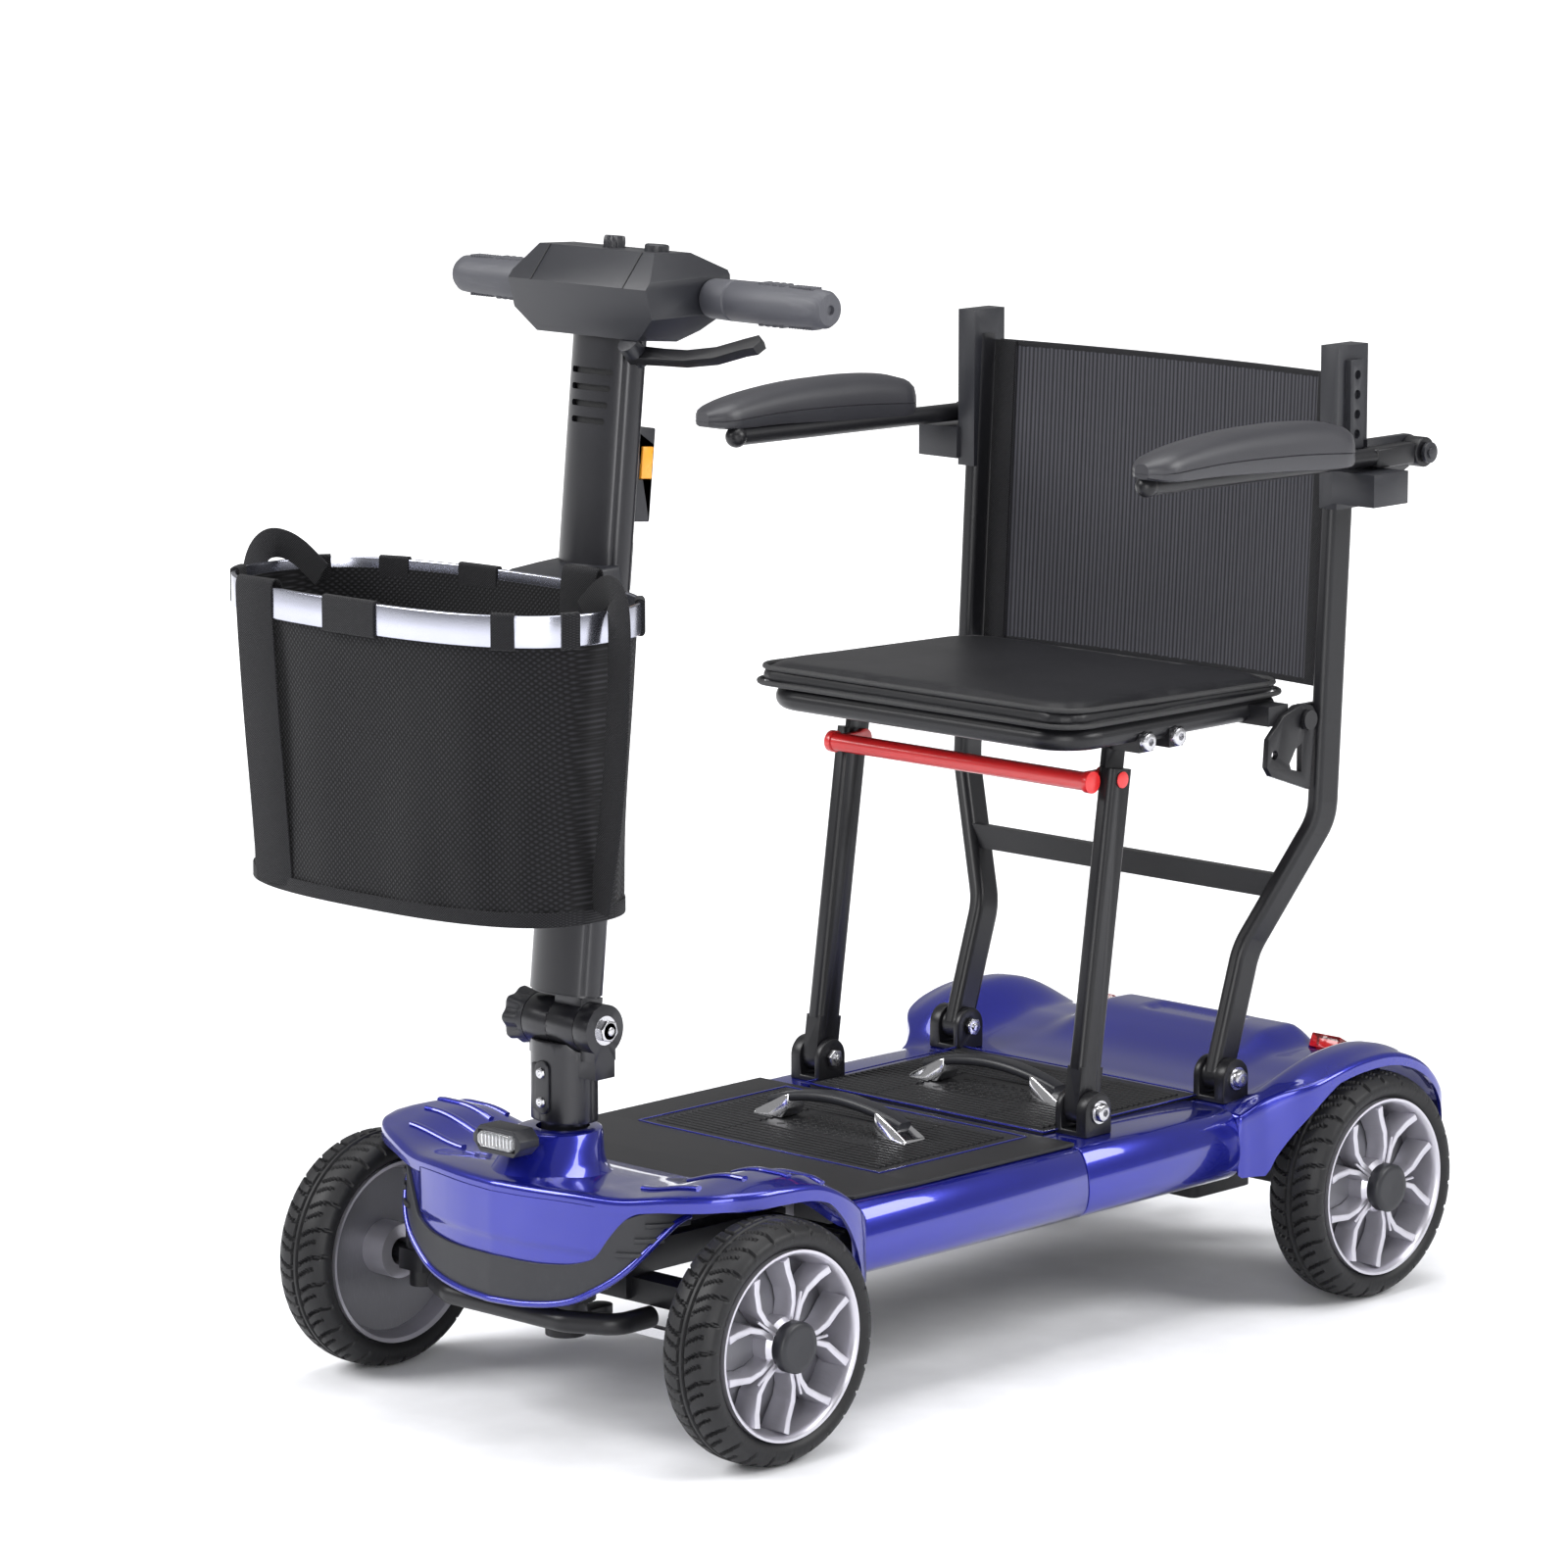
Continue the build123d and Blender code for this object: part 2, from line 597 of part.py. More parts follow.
bar_y = latch_y - 27
with BuildPart() as release_bar:
    pin_along_x(-149, 149, bar_y, latch_z, 8)
    for side in sides:
        pin_along_x(side * 145, side * 151, bar_y, latch_z, 9.5)
        side_plate(side * 136, side * 141, [(latch_y + 6, latch_z - 7), (latch_y + 6, latch_z + 7),
                                            (bar_y, latch_z + 7), (bar_y, latch_z - 7)])
        pin_along_x(side * 136, side * 141, latch_y, latch_z, 9)
        pin_along_x(side * 136, side * 160.4, latch_y, latch_z, 4)
        pin_along_x(side * 160.3, side * 161.2, latch_y, latch_z, 7)
save(release_bar, "release_bar")

# ---- seat ----
barrel_gap = 39.0
rail_front = st(seat_front + 12 + rail_radius)
rail_rear = st(300)
with BuildPart() as seat_frame:
    with BuildLine():
        FilletPolyline((rail_x, rail_rear, rail_z), (rail_x, rail_front, rail_z), (-rail_x, rail_front, rail_z),
                       (-rail_x, rail_rear, rail_z), radius=32)
    with BuildSketch(Plane(origin=(rail_x, rail_rear, rail_z), x_dir=(1, 0, 0), z_dir=(0, -1, 0))):
        Circle(rail_radius)
    sweep()
    pin_along_x(-rail_x, rail_x, rail_rear - rail_radius - 2, rail_z, rail_radius - 1)
    for side in sides:
        slab(side * 150.6, side * 182, pin_y - 9, pin_y + 9, pin_z - 9, pin_z + 7)
        slab(side * 162.4, side * 182, pin_y + barrel_gap - 9, pin_y + barrel_gap + 9, pin_z - 9, pin_z + 7)
        slab(side * 165, side * 177, pin_y + 4, pin_y + barrel_gap - 4, pin_z - 1, rail_z)
        bore_along_x(side * 150, side * 184, pin_y, pin_z, bolt_radius)
        bore_along_x(side * 150, side * 184, pin_y + barrel_gap, pin_z, bolt_radius)
        slab(side * 169, side * 202.2, back_pin_y - 44, back_pin_y - 18, pin_z - 2, pin_z + 15)
save(seat_frame, "seat_frame")

plate_in = 202.2
plate_out = 208.0
with BuildPart() as hook_plates:
    for side in sides:
        side_plate(side * plate_in, side * plate_out,
                   [(back_pin_y - 6, pin_z + 14), (back_pin_y + 8, pin_z + 11), (back_pin_y + 12, pin_z - 2),
                    (back_pin_y + 6, pin_z - 62), (back_pin_y - 46, pin_z - 44), (back_pin_y - 52, pin_z - 36),
                    (back_pin_y - 50, pin_z - 12), (back_pin_y - 30, pin_z + 6)])
        pin_along_x(side * plate_in, side * plate_out, back_pin_y, pin_z, 13)
        side_plate(side * 200, side * 210,
                   [(back_pin_y - 6, pin_z - 20), (back_pin_y - 14, pin_z - 24), (back_pin_y - 22, pin_z - 36),
                    (back_pin_y - 20, pin_z - 41), (back_pin_y - 6, pin_z - 45)], mode=Mode.SUBTRACT)
        bore_along_x(side * 200, side * 210, back_pin_y - 42, pin_z - 26, 4)
        bore_along_x(side * 200, side * 210, back_pin_y, pin_z, bolt_radius + 0.3)
save(hook_plates, "hook_plates")

with BuildPart() as seat_bolts:
    for side in sides:
        pin_along_x(side * 140, side * 182, pin_y, pin_z, bolt_radius)
        pin_along_x(side * 162.4, side * 182, pin_y + barrel_gap, pin_z, bolt_radius)
        pin_along_x(side * 138, side * 143.7, pin_y, pin_z, 8)
        for y in (pin_y, pin_y + barrel_gap):
            pin_along_x(side * 182, side * 184, y, pin_z, 9)
            pin_along_x(side * 184, side * 188, y, pin_z, 6.5)
save(seat_bolts, "seat_bolts")

cushion_low = rail_z + rail_radius + 0.2
with BuildPart() as seat_cushion:
    side_plate(-seat_half_width, seat_half_width, [(st(seat_front), cushion_low), (st(seat_front), 553),
                                                   (st(seat_rear), 546), (st(seat_rear), cushion_low)])
    fillet(seat_cushion.edges().filter_by(Axis.Z), 30)
save(seat_cushion, "seat_cushion")

# ---- back: bent posts, crossbar, sling and armrest cradles ----
post_low = (leg_x, st(post_pivot_y), pivot_z)
post_bend = (leg_x, st(300), 308)
post_knee = (post_x, st(335), 426)
post_top = (post_x, st(356), 812)


def post_path(side):
    return [(side * x, y, z) for x, y, z in (post_low, post_bend, post_knee, post_top)]


def post_solid(side):
    """A post as a filled bar: straight foot, splayed knee and straight top, joined by short arcs."""
    with BuildPart() as bar:
        with BuildLine() as route:
            FilletPolyline(*post_path(side), radius=60)
        start = route.line @ 0
        with BuildSketch(Plane(origin=start, x_dir=(1, 0, 0), z_dir=route.line % 0)):
            RectangleRounded(post_wide, leg_deep, 6)
        sweep()
    return bar.part


left_post = post_solid(1)
right_post = post_solid(-1)
ear_in = 193.0
ear_out = 198.6
with BuildPart() as back_frame:
    add(left_post)
    add(right_post)
    for side in sides:
        pin_along_x(side * (leg_x - 7.5), side * (leg_x + 7.5), st(post_pivot_y), pivot_z, 13.5)
        bore_along_x(side * 140, side * 165, st(post_pivot_y), pivot_z, bolt_radius + running_gap)
        side_plate(side * ear_in, side * ear_out, [(back_pin_y, pin_z - 11), (st(346), pin_z - 11),
                                                   (st(346), pin_z + 11), (back_pin_y, pin_z + 11)])
        pin_along_x(side * ear_in, side * ear_out, back_pin_y, pin_z, 11)
        pin_along_x(side * ear_in, side * 211, back_pin_y, pin_z, bolt_radius)
        pin_along_x(side * 209, side * 213, back_pin_y, pin_z, 8.5)
    slab(-176, 176, st(307), st(315), 355, 376)
save(back_frame, "back_frame")

sling_back = 8.0
sling_thick = 3.0
with BuildPart() as backrest_sling:
    lean = degrees(atan2(post_top[1] - post_knee[1], post_top[2] - post_knee[2]))
    foot_y = post_knee[1] + (535 - post_knee[2]) * (post_top[1] - post_knee[1]) / (post_top[2] - post_knee[2])
    with BuildSketch(lean_plane(0, foot_y, 535, lean)):
        with BuildLine():
            edge_x = post_x - post_wide / 2 - 0.4
            rear = ThreePointArc((-edge_x, sling_back), (0, sling_back + 14), (edge_x, sling_back))
            front = ThreePointArc((-edge_x, sling_back - sling_thick), (0, sling_back + 14 - sling_thick),
                                  (edge_x, sling_back - sling_thick))
            Line(rear @ 0, front @ 0)
            Line(rear @ 1, front @ 1)
        make_face()
    extrude(amount=258)
save(backrest_sling, "backrest_sling")

pad_front = 40.0
pad_rear = 303.0
cradle_top = 728.0
with BuildPart() as post_fittings:
    for side in sides:
        slab(side * (post_x - 7.2), side * (post_x + 12), st(334), st(374), 694, 834)
        slab(side * (post_x + 10), side * 262, st(330), st(376), 700, cradle_top)
        side_plate(side * 218, side * 225, [(st(366), 700), (st(366), 752), (st(424), 752), (st(424), 724)])
        pin_along_x(side * 218, side * 225, st(flip_y), flip_z, 14)
        pin_along_x(side * 218, side * 252, st(flip_y), flip_z, bolt_radius)
        pin_along_x(side * 246.4, side * 250, st(flip_y), flip_z, 9)
        slab(side * (post_x + 12), side * (post_x + 18), st(344), st(362), 746, 822)
        for level in range(4):
            bore_along_x(side * (post_x + 14), side * (post_x + 19), st(353), 758 + 17 * level, 4)
    add(left_post, mode=Mode.SUBTRACT)
    add(right_post, mode=Mode.SUBTRACT)
save(post_fittings, "post_fittings")

for side, name in zip(sides, ("armrest_left", "armrest_right")):
    with BuildPart() as arm:
        arm_path = Line((side * arm_x, st(66), 742), (side * arm_x, st(flip_y), flip_z))
        with BuildSketch(Plane(origin=arm_path @ 0, x_dir=(1, 0, 0), z_dir=arm_path % 0)):
            Circle(8)
        extrude(amount=(arm_path @ 0 - arm_path @ 1).length)
        with Locations(arm_path @ 0):
            Sphere(9.5)
        slab(side * 227, side * 245, st(flip_y) - 60, st(flip_y), flip_z - 8, flip_z + 10)
        pin_along_x(side * 227, side * 245, st(flip_y), flip_z, 13)
        bore_along_x(side * 220, side * 260, st(flip_y), flip_z, bolt_radius + running_gap)
    with BuildPart() as pad:
        with BuildSketch(across(side * pad_x - 24.5, 0, 0)):
            with BuildLine():
                Polyline((st(pad_front), 764), (st(pad_front + 8), 749), (st(pad_rear - 4), 737),
                         (st(pad_rear), 753), (st(pad_rear - 20), 768))
                ThreePointArc((st(pad_rear - 20), 768), (st(220), 783), (st(pad_front), 764))
            make_face()
        extrude(amount=49)
        with BuildSketch(Plane.XY.offset(730)):
            with Locations((side * pad_x, st((pad_front + pad_rear) / 2))):
                RectangleRounded(49, pad_rear - pad_front, 14)
        extrude(amount=60, mode=Mode.INTERSECT)
        with BuildSketch(Plane(origin=arm_path @ 0, x_dir=(1, 0, 0), z_dir=arm_path % 0)):
            Circle(8.2)
        extrude(amount=360, mode=Mode.SUBTRACT)
        with Locations(arm_path @ 0):
            Sphere(9.8, mode=Mode.SUBTRACT)
    with BuildPart() as armrest:
        add(arm.part)
        add(pad.part)
    save(armrest, name)


# ---- tiller ----
def on_tiller(distance):
    """A plane across the tiller at a distance up from the hinge, with its own y towards the rider."""
    lean = radians(tiller_lean)
    return Plane(origin=(0, st(column_y) + distance * sin(lean), hinge_z + distance * cos(lean)),
                 x_dir=(1, 0, 0), z_dir=(0, sin(lean), cos(lean)))


def tiller_side(x, start=0.0):
    """A plane across X in the tiller's lean, with its own x towards the rider and y up the tiller."""
    lean = radians(tiller_lean)
    return Plane(origin=(x, st(column_y) + start * sin(lean), hinge_z + start * cos(lean)),
                 x_dir=(0, cos(lean), -sin(lean)), z_dir=(1, 0, 0))


tube_low = 26.0
tube_high = 556.0
head_low = 548.0
with BuildPart() as tiller_hinge:
    pin_along_x(-0.4, 30.4, st(column_y), hinge_z, hinge_radius)
    with BuildSketch(on_tiller(0)):
        with Locations((15, 0)):
            Rectangle(30.8, 24)
    extrude(amount=tube_low - 2)
    with BuildSketch(on_tiller(tube_low - 2)):
        Ellipse(34, 20)
    extrude(amount=2)
    bore_along_x(-2, 32, st(column_y), hinge_z, bolt_radius + running_gap)
save(tiller_hinge, "tiller_hinge")

with BuildPart() as hinge_knob:
    pin_along_x(-50, -34, st(column_y), hinge_z, 19)
    pin_along_x(-34, -28.6, st(column_y), hinge_z, 21.5)
    for lobe in range(8):
        angle = radians(lobe * 45)
        bore_along_x(-52, -34, st(column_y) + 22.5 * cos(angle), hinge_z + 22.5 * sin(angle), 6)
save(hinge_knob, "hinge_knob")

with BuildPart() as tiller_tube:
    with BuildSketch(on_tiller(tube_low)):
        Ellipse(tiller_wide / 2, tiller_deep / 2)
    extrude(amount=tube_high - tube_low)
    with BuildSketch(on_tiller(tube_low)):
        Ellipse(tiller_wide / 2 - 3, tiller_deep / 2 - 3)
    extrude(amount=tube_high - tube_low, mode=Mode.SUBTRACT)
    for slot in range(4):
        with BuildSketch(on_tiller(486 + 13 * slot)):
            with Locations((0, -22)):
                Rectangle(52, 8)
        extrude(amount=4.5, mode=Mode.SUBTRACT)
save(tiller_tube, "tiller_tube")

grip_up = 593.0
grip_back = 33.0
bar_radius = 11.0
grip_radius = 17.0
lever_plane = Plane(origin=(46, st(-336), 868), x_dir=(1, 0, 0), z_dir=(0, -1, 1))
dial_spot = (-4, 2)
horn_spot = (44, 2)
dial_seat = 624.0
with BuildPart() as head_housing:
    with BuildSketch(tiller_side(0, 0)):
        with BuildLine():
            Polyline((-26, tube_high), (-42, 597), (-22, 626), (18, 628), (52, 616), (56, 590),
                     (40, 566), (24, tube_high), close=True)
        make_face()
    extrude(amount=78, both=True)
    with BuildSketch(Plane(origin=(0, st(-300), 0), x_dir=(1, 0, 0), z_dir=(0, -1, 0))):
        with BuildLine():
            Polyline((-44, 870), (-78, 900), (-78, 930), (-58, 962), (58, 962), (78, 930), (78, 900), (44, 870),
                     close=True)
        make_face()
    extrude(amount=120, both=True, mode=Mode.INTERSECT)
    with BuildSketch(tiller_side(-90)):
        with Locations((grip_back, grip_up)):
            Circle(bar_radius)
    extrude(amount=180, mode=Mode.SUBTRACT)
    with BuildSketch(on_tiller(dial_seat - 1.4)):
        with Locations(dial_spot):
            Circle(9.4)
        with Locations(horn_spot):
            Circle(10.4)
    extrude(amount=20, mode=Mode.SUBTRACT)
    with BuildSketch(lever_plane.offset(4.8)):
        Circle(9)
    extrude(amount=12)
    with BuildSketch(lever_plane.offset(-8)):
        Circle(3)
    extrude(amount=14)
    with BuildSketch(lever_plane.offset(-8)):
        Circle(6)
    extrude(amount=3.2)
save(head_housing, "head_housing")

with BuildPart() as handlebar:
    with BuildSketch(tiller_side(-200)):
        with Locations((grip_back, grip_up)):
            Circle(bar_radius)
    extrude(amount=400)
save(handlebar, "handlebar")

with BuildPart() as grips:
    for side in sides:
        with BuildSketch(tiller_side(79 if side > 0 else -208)):
            with Locations((grip_back, grip_up)):
                Circle(grip_radius)
        extrude(amount=129)
        with BuildSketch(tiller_side(79 if side > 0 else -200)):
            with Locations((grip_back, grip_up)):
                Circle(bar_radius)
        extrude(amount=121, mode=Mode.SUBTRACT)
save(grips, "grips")

with BuildPart() as brake_lever:
    with BuildSketch(lever_plane.offset(-4.5)):
        with BuildLine():
            Polyline((-8, -6), (10, -5), (28, -4), (54, -3), (84, 3), (108, 14), (118, 17), (122, 24), (116, 30),
                     (104, 25), (80, 14), (52, 8), (28, 7), (8, 7), (-8, 6), close=True)
        make_face()
    extrude(amount=9)
    with BuildSketch(lever_plane.offset(-4.5)):
        Circle(3 + running_gap)
    extrude(amount=9, mode=Mode.SUBTRACT)
save(brake_lever, "brake_lever")

with BuildPart() as tiller_block:
    with BuildSketch(on_tiller(408)):
        with Locations((0, tiller_deep / 2 + 11)):
            Rectangle(30, 24)
    extrude(amount=76)
    with BuildSketch(on_tiller(352)):
        with Locations((0, tiller_deep / 2 + 9)):
            Rectangle(18, 8)
    extrude(amount=40)
    with BuildSketch(on_tiller(352)):
        with Locations((0, tiller_deep / 2 + 3)):
            Rectangle(18, 6)
    extrude(amount=12)
    with BuildSketch(tiller_side(9)):
        with Locations((tiller_deep / 2 + 14, 456)):
            Rectangle(12.4, 26.4)
    extrude(amount=10, mode=Mode.SUBTRACT)
    add(tiller_tube.part, mode=Mode.SUBTRACT)
save(tiller_block, "tiller_block")

with BuildPart() as amber_button:
    with BuildSketch(tiller_side(12)):
        with Locations((tiller_deep / 2 + 14, 456)):
            Rectangle(12, 26)
    extrude(amount=5)
save(amber_button, "amber_button")

with BuildPart() as speed_dial:
    with BuildSketch(on_tiller(dial_seat - 1.2)):
        with Locations(dial_spot):
            Circle(9)
    extrude(amount=14.2)
save(speed_dial, "speed_dial")
with BuildPart() as horn_button:
    with BuildSketch(on_tiller(dial_seat + 1)):
        with Locations(horn_spot):
            Circle(10)
    extrude(amount=8)
save(horn_button, "horn_button")

# ---- basket ----
basket_y = st(-518)
basket_half_x = 195.0
basket_half_y = 100.0
rim_low = 674.0
rim_high = 699.0
bag_low = 455.0


def basket_ring(inset):
    """The basket's plan: a flattened oval."""
    with Locations((0, basket_y)):
        SlotOverall(2 * (basket_half_x - inset), 2 * (basket_half_y - inset))


with BuildPart() as basket_rim:
    with BuildSketch(Plane.XY.offset(rim_low)):
        basket_ring(0)
        with Locations((0, basket_y)):
            SlotOverall(2 * (basket_half_x - 4), 2 * (basket_half_y - 4), mode=Mode.SUBTRACT)
    extrude(amount=rim_high - rim_low)
save(basket_rim, "basket_rim")
with BuildPart() as basket_bag:
    with BuildSketch(Plane.XY.offset(bag_low)):
        basket_ring(4.2)
    extrude(amount=rim_high - 3 - bag_low)
    with BuildSketch(Plane.XY.offset(bag_low + 2.5)):
        basket_ring(6.7)
    extrude(amount=rim_high, mode=Mode.SUBTRACT)
save(basket_bag, "basket_bag")
with BuildPart() as basket_bracket:
    slab(-34, 34, basket_y + basket_half_y + 0.2, st(-338), 672, 700)
    add(tiller_tube.part, mode=Mode.SUBTRACT)
    with BuildSketch(on_tiller(320)):
        Ellipse(tiller_wide / 2, tiller_deep / 2)
    extrude(amount=80, mode=Mode.SUBTRACT)
    slab(-40, 40, st(-345), st(-300), 660, 710, mode=Mode.SUBTRACT)
save(basket_bracket, "basket_bracket")
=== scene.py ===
"""Looks of a folding four-wheel mobility scooter, built around its packed frame."""
import json
import math

import bmesh
import bpy
import numpy as np
from mathutils import Matrix, Vector, geometry


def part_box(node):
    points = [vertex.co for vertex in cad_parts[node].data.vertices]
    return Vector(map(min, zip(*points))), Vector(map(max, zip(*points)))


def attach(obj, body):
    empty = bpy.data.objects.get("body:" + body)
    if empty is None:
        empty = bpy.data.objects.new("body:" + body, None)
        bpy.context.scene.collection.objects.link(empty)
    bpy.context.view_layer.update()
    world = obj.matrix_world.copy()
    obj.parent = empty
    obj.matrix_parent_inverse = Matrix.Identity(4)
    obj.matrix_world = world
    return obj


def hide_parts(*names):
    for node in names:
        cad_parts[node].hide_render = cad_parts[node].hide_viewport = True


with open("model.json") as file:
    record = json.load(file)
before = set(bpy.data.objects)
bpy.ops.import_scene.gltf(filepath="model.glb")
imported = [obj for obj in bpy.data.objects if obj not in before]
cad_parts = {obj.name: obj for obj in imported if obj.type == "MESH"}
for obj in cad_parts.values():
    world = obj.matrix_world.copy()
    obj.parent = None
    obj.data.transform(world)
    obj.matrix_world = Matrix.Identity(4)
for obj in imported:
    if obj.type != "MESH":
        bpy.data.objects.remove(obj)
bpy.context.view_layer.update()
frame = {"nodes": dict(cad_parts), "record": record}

bl_info = {
    "name": "Folding mobility scooter",
    "version": (1, 0, 0),
    "blender": (4, 5, 0),
    "location": "View3D > Sidebar > Scooter",
    "description": "Builds the bodywork, wheels, tiller, basket, seat and stage of a folding scooter",
    "category": "Object",
}

front_axle = sum((v.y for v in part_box("rim_front_left"))) / 2
rear_axle = sum((v.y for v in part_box("rim_rear_left"))) / 2
middle = (front_axle + rear_axle) / 2
tilt = math.radians(5.8)
hinge = Vector((0, middle - 0.378, 0.326))


# ---------------------------------------------------------------- shape helpers
def at(x, y, z):
    """A place given in millimetres, with y counted back from mid-wheelbase."""
    return Vector((x / 1000, y / 1000 + middle, z / 1000))


def on_tiller(x, back, up):
    """A place given across, back from and up the leaning tiller, in millimetres."""
    b, u = back / 1000, up / 1000
    return hinge + Vector((x / 1000, u * math.sin(tilt) + b * math.cos(tilt),
                           u * math.cos(tilt) - b * math.sin(tilt)))


def smooth(value, low, high):
    t = np.clip((value - low) / (high - low), 0.0, 1.0)
    return t * t * (3 - 2 * t)


def curve_through(points):
    """A smooth function through (place, value) pairs, without overshoot."""
    xs = np.array([p[0] for p in points], float)
    ys = np.array([p[1] for p in points], float)
    slope = np.diff(ys) / np.diff(xs)
    m = np.concatenate([[slope[0]], (slope[1:] + slope[:-1]) / 2, [slope[-1]]])
    m[1:-1][slope[1:] * slope[:-1] <= 0] = 0

    def value(x):
        x = np.clip(np.asarray(x, float), xs[0], xs[-1])
        i = np.clip(np.searchsorted(xs, x) - 1, 0, len(xs) - 2)
        h = xs[i + 1] - xs[i]
        t = (x - xs[i]) / h
        return ((2 * t ** 3 - 3 * t ** 2 + 1) * ys[i] + (t ** 3 - 2 * t ** 2 + t) * h * m[i]
                + (-2 * t ** 3 + 3 * t ** 2) * ys[i + 1] + (t ** 3 - t ** 2) * h * m[i + 1])
    return value


def resample(points, step, closed=False):
    """Points spaced evenly along a polyline."""
    pts = [Vector(p) for p in points]
    if closed:
        pts.append(pts[0])
    lengths = [0.0]
    for a, b in zip(pts, pts[1:]):
        lengths.append(lengths[-1] + (b - a).length)
    count = max(2, round(lengths[-1] / step))
    out = []
    for k in range(count if closed else count + 1):
        d = lengths[-1] * k / count
        i = min(max(int(np.searchsorted(lengths, d)) - 1, 0), len(pts) - 2)
        span = lengths[i + 1] - lengths[i] or 1
        out.append(pts[i].lerp(pts[i + 1], (d - lengths[i]) / span))
    return out


def rounded(points, passes=3, closed=False):
    """A polyline with its corners cut smoothly."""
    pts = [Vector(p) for p in points]
    for _ in range(passes):
        new = [] if closed else [pts[0]]
        pairs = zip(pts, pts[1:] + pts[:1]) if closed else zip(pts, pts[1:])
        for a, b in pairs:
            new += [a.lerp(b, 0.25), a.lerp(b, 0.75)]
        pts = new if closed else new + [pts[-1]]
    return pts


def piece(name, verts, faces, crease=35):
    mesh = bpy.data.meshes.new(name)
    mesh.from_pydata([tuple(v) for v in verts], [], faces)
    return wrap(name, mesh, crease)


def wrap(name, mesh, crease=35):
    mesh.validate()
    bm = bmesh.new()
    bm.from_mesh(mesh)
    bmesh.ops.remove_doubles(bm, verts=bm.verts, dist=1e-6)
    bmesh.ops.recalc_face_normals(bm, faces=bm.faces)
    bm.to_mesh(mesh)
    bm.free()
    mesh.shade_smooth()
    mesh.set_sharp_from_angle(angle=math.radians(crease))
    ob = bpy.data.objects.new(name, mesh)
    bpy.context.scene.collection.objects.link(ob)
    return ob


def baked(ob, crease=35):
    """The object with its modifiers turned into plain mesh."""
    bpy.context.view_layer.update()
    graph = bpy.context.evaluated_depsgraph_get()
    mesh = bpy.data.meshes.new_from_object(ob.evaluated_get(graph))
    ob.modifiers.clear()
    old, ob.data = ob.data, mesh
    if old.users == 0:
        bpy.data.meshes.remove(old)
    mesh.shade_smooth()
    mesh.set_sharp_from_angle(angle=math.radians(crease))
    return ob


def bevelled(ob, width, segments=3, angle=30, crease=35):
    mod = ob.modifiers.new("bevel", "BEVEL")
    mod.width = width / 1000
    mod.segments = segments
    mod.limit_method = "ANGLE"
    mod.angle_limit = math.radians(angle)
    mod.harden_normals = False
    return baked(ob, crease)


def thickened(ob, thickness, crease=35):
    mod = ob.modifiers.new("wall", "SOLIDIFY")
    mod.thickness = thickness / 1000
    mod.offset = -1
    mod.use_even_offset = False
    return baked(ob, crease)


def subdivided(ob, levels=1, crease=35):
    mod = ob.modifiers.new("smooth", "SUBSURF")
    mod.levels = mod.render_levels = levels
    return baked(ob, crease)


def joined(name, obs):
    """Several objects made into one."""
    mesh = bpy.data.meshes.new(name)
    bm = bmesh.new()
    for ob in obs:
        bm.from_mesh(ob.data)
    bm.to_mesh(mesh)
    bm.free()
    for ob in obs:
        data = ob.data
        bpy.data.objects.remove(ob)
        bpy.data.meshes.remove(data)
    mesh.shade_smooth()
    mesh.set_sharp_from_angle(angle=math.radians(35))
    ob = bpy.data.objects.new(name, mesh)
    bpy.context.scene.collection.objects.link(ob)
    return ob


def loft(name, rings, capped=True, crease=35, loop=False):
    """Closed rings of equal count joined by quads."""
    n = len(rings[0])
    verts = [p for ring in rings for p in ring]
    faces = []
    last = len(rings) if loop else len(rings) - 1
    for i in range(last):
        a, b = i * n, ((i + 1) % len(rings)) * n
        faces += [(a + j, a + (j + 1) % n, b + (j + 1) % n, b + j) for j in range(n)]
    if capped and not loop:
        faces.append(tuple(range(n))[::-1])
        faces.append(tuple((len(rings) - 1) * n + j for j in range(n)))
    return piece(name, verts, faces, crease)


def lathe(name, profile, centre, axis="X", segments=96, crease=35, closed=True):
    """A turned shape: profile is (along, radius) in millimetres round an axis through centre."""
    rings = []
    for along, radius in profile:
        ring = []
        for k in range(segments):
            a = 2 * math.pi * k / segments
            c, s = radius * math.cos(a) / 1000, radius * math.sin(a) / 1000
            if axis == "X":
                ring.append(centre + Vector((along / 1000, c, s)))
            elif axis == "Z":
                ring.append(centre + Vector((c, s, along / 1000)))
            else:
                u = Vector(axis)
                v = u.orthogonal().normalized()
                ring.append(centre + u * along / 1000 + v * c + u.cross(v) * s)
        rings.append(ring)
    return loft(name, rings, not closed, crease, loop=closed)


def swept(name, path, section, up=(0, 0, 1), capped=True, crease=35, scale=None):
    """A section, as (side, up) pairs in millimetres, carried along a path of places."""
    path = [Vector(p) for p in path]
    ref = Vector(up)
    rings = []
    for i, p in enumerate(path):
        t = (path[min(i + 1, len(path) - 1)] - path[max(i - 1, 0)]).normalized()
        side = t.cross(ref)
        if side.length < 1e-4:
            side = t.orthogonal()
        side.normalize()
        high = side.cross(t)
        k = scale[i] if scale else 1.0
        rings.append([p + (side * a + high * b) * k / 1000 for a, b in section])
    return loft(name, rings, capped, crease)


def circle(radius, count=20, flat=1.0):
    return [(radius * math.cos(2 * math.pi * k / count), radius * flat * math.sin(2 * math.pi * k / count))
            for k in range(count)]


def rounded_bar(width, height, radius, steps=4):
    """A rounded rectangle as (side, up) pairs."""
    out = []
    for cx, cy, start in ((1, 1, 0), (-1, 1, 90), (-1, -1, 180), (1, -1, 270)):
        for k in range(steps + 1):
            a = math.radians(start + 90 * k / steps)
            out.append((cx * (width / 2 - radius) + radius * math.cos(a),
                        cy * (height / 2 - radius) + radius * math.sin(a)))
    return out


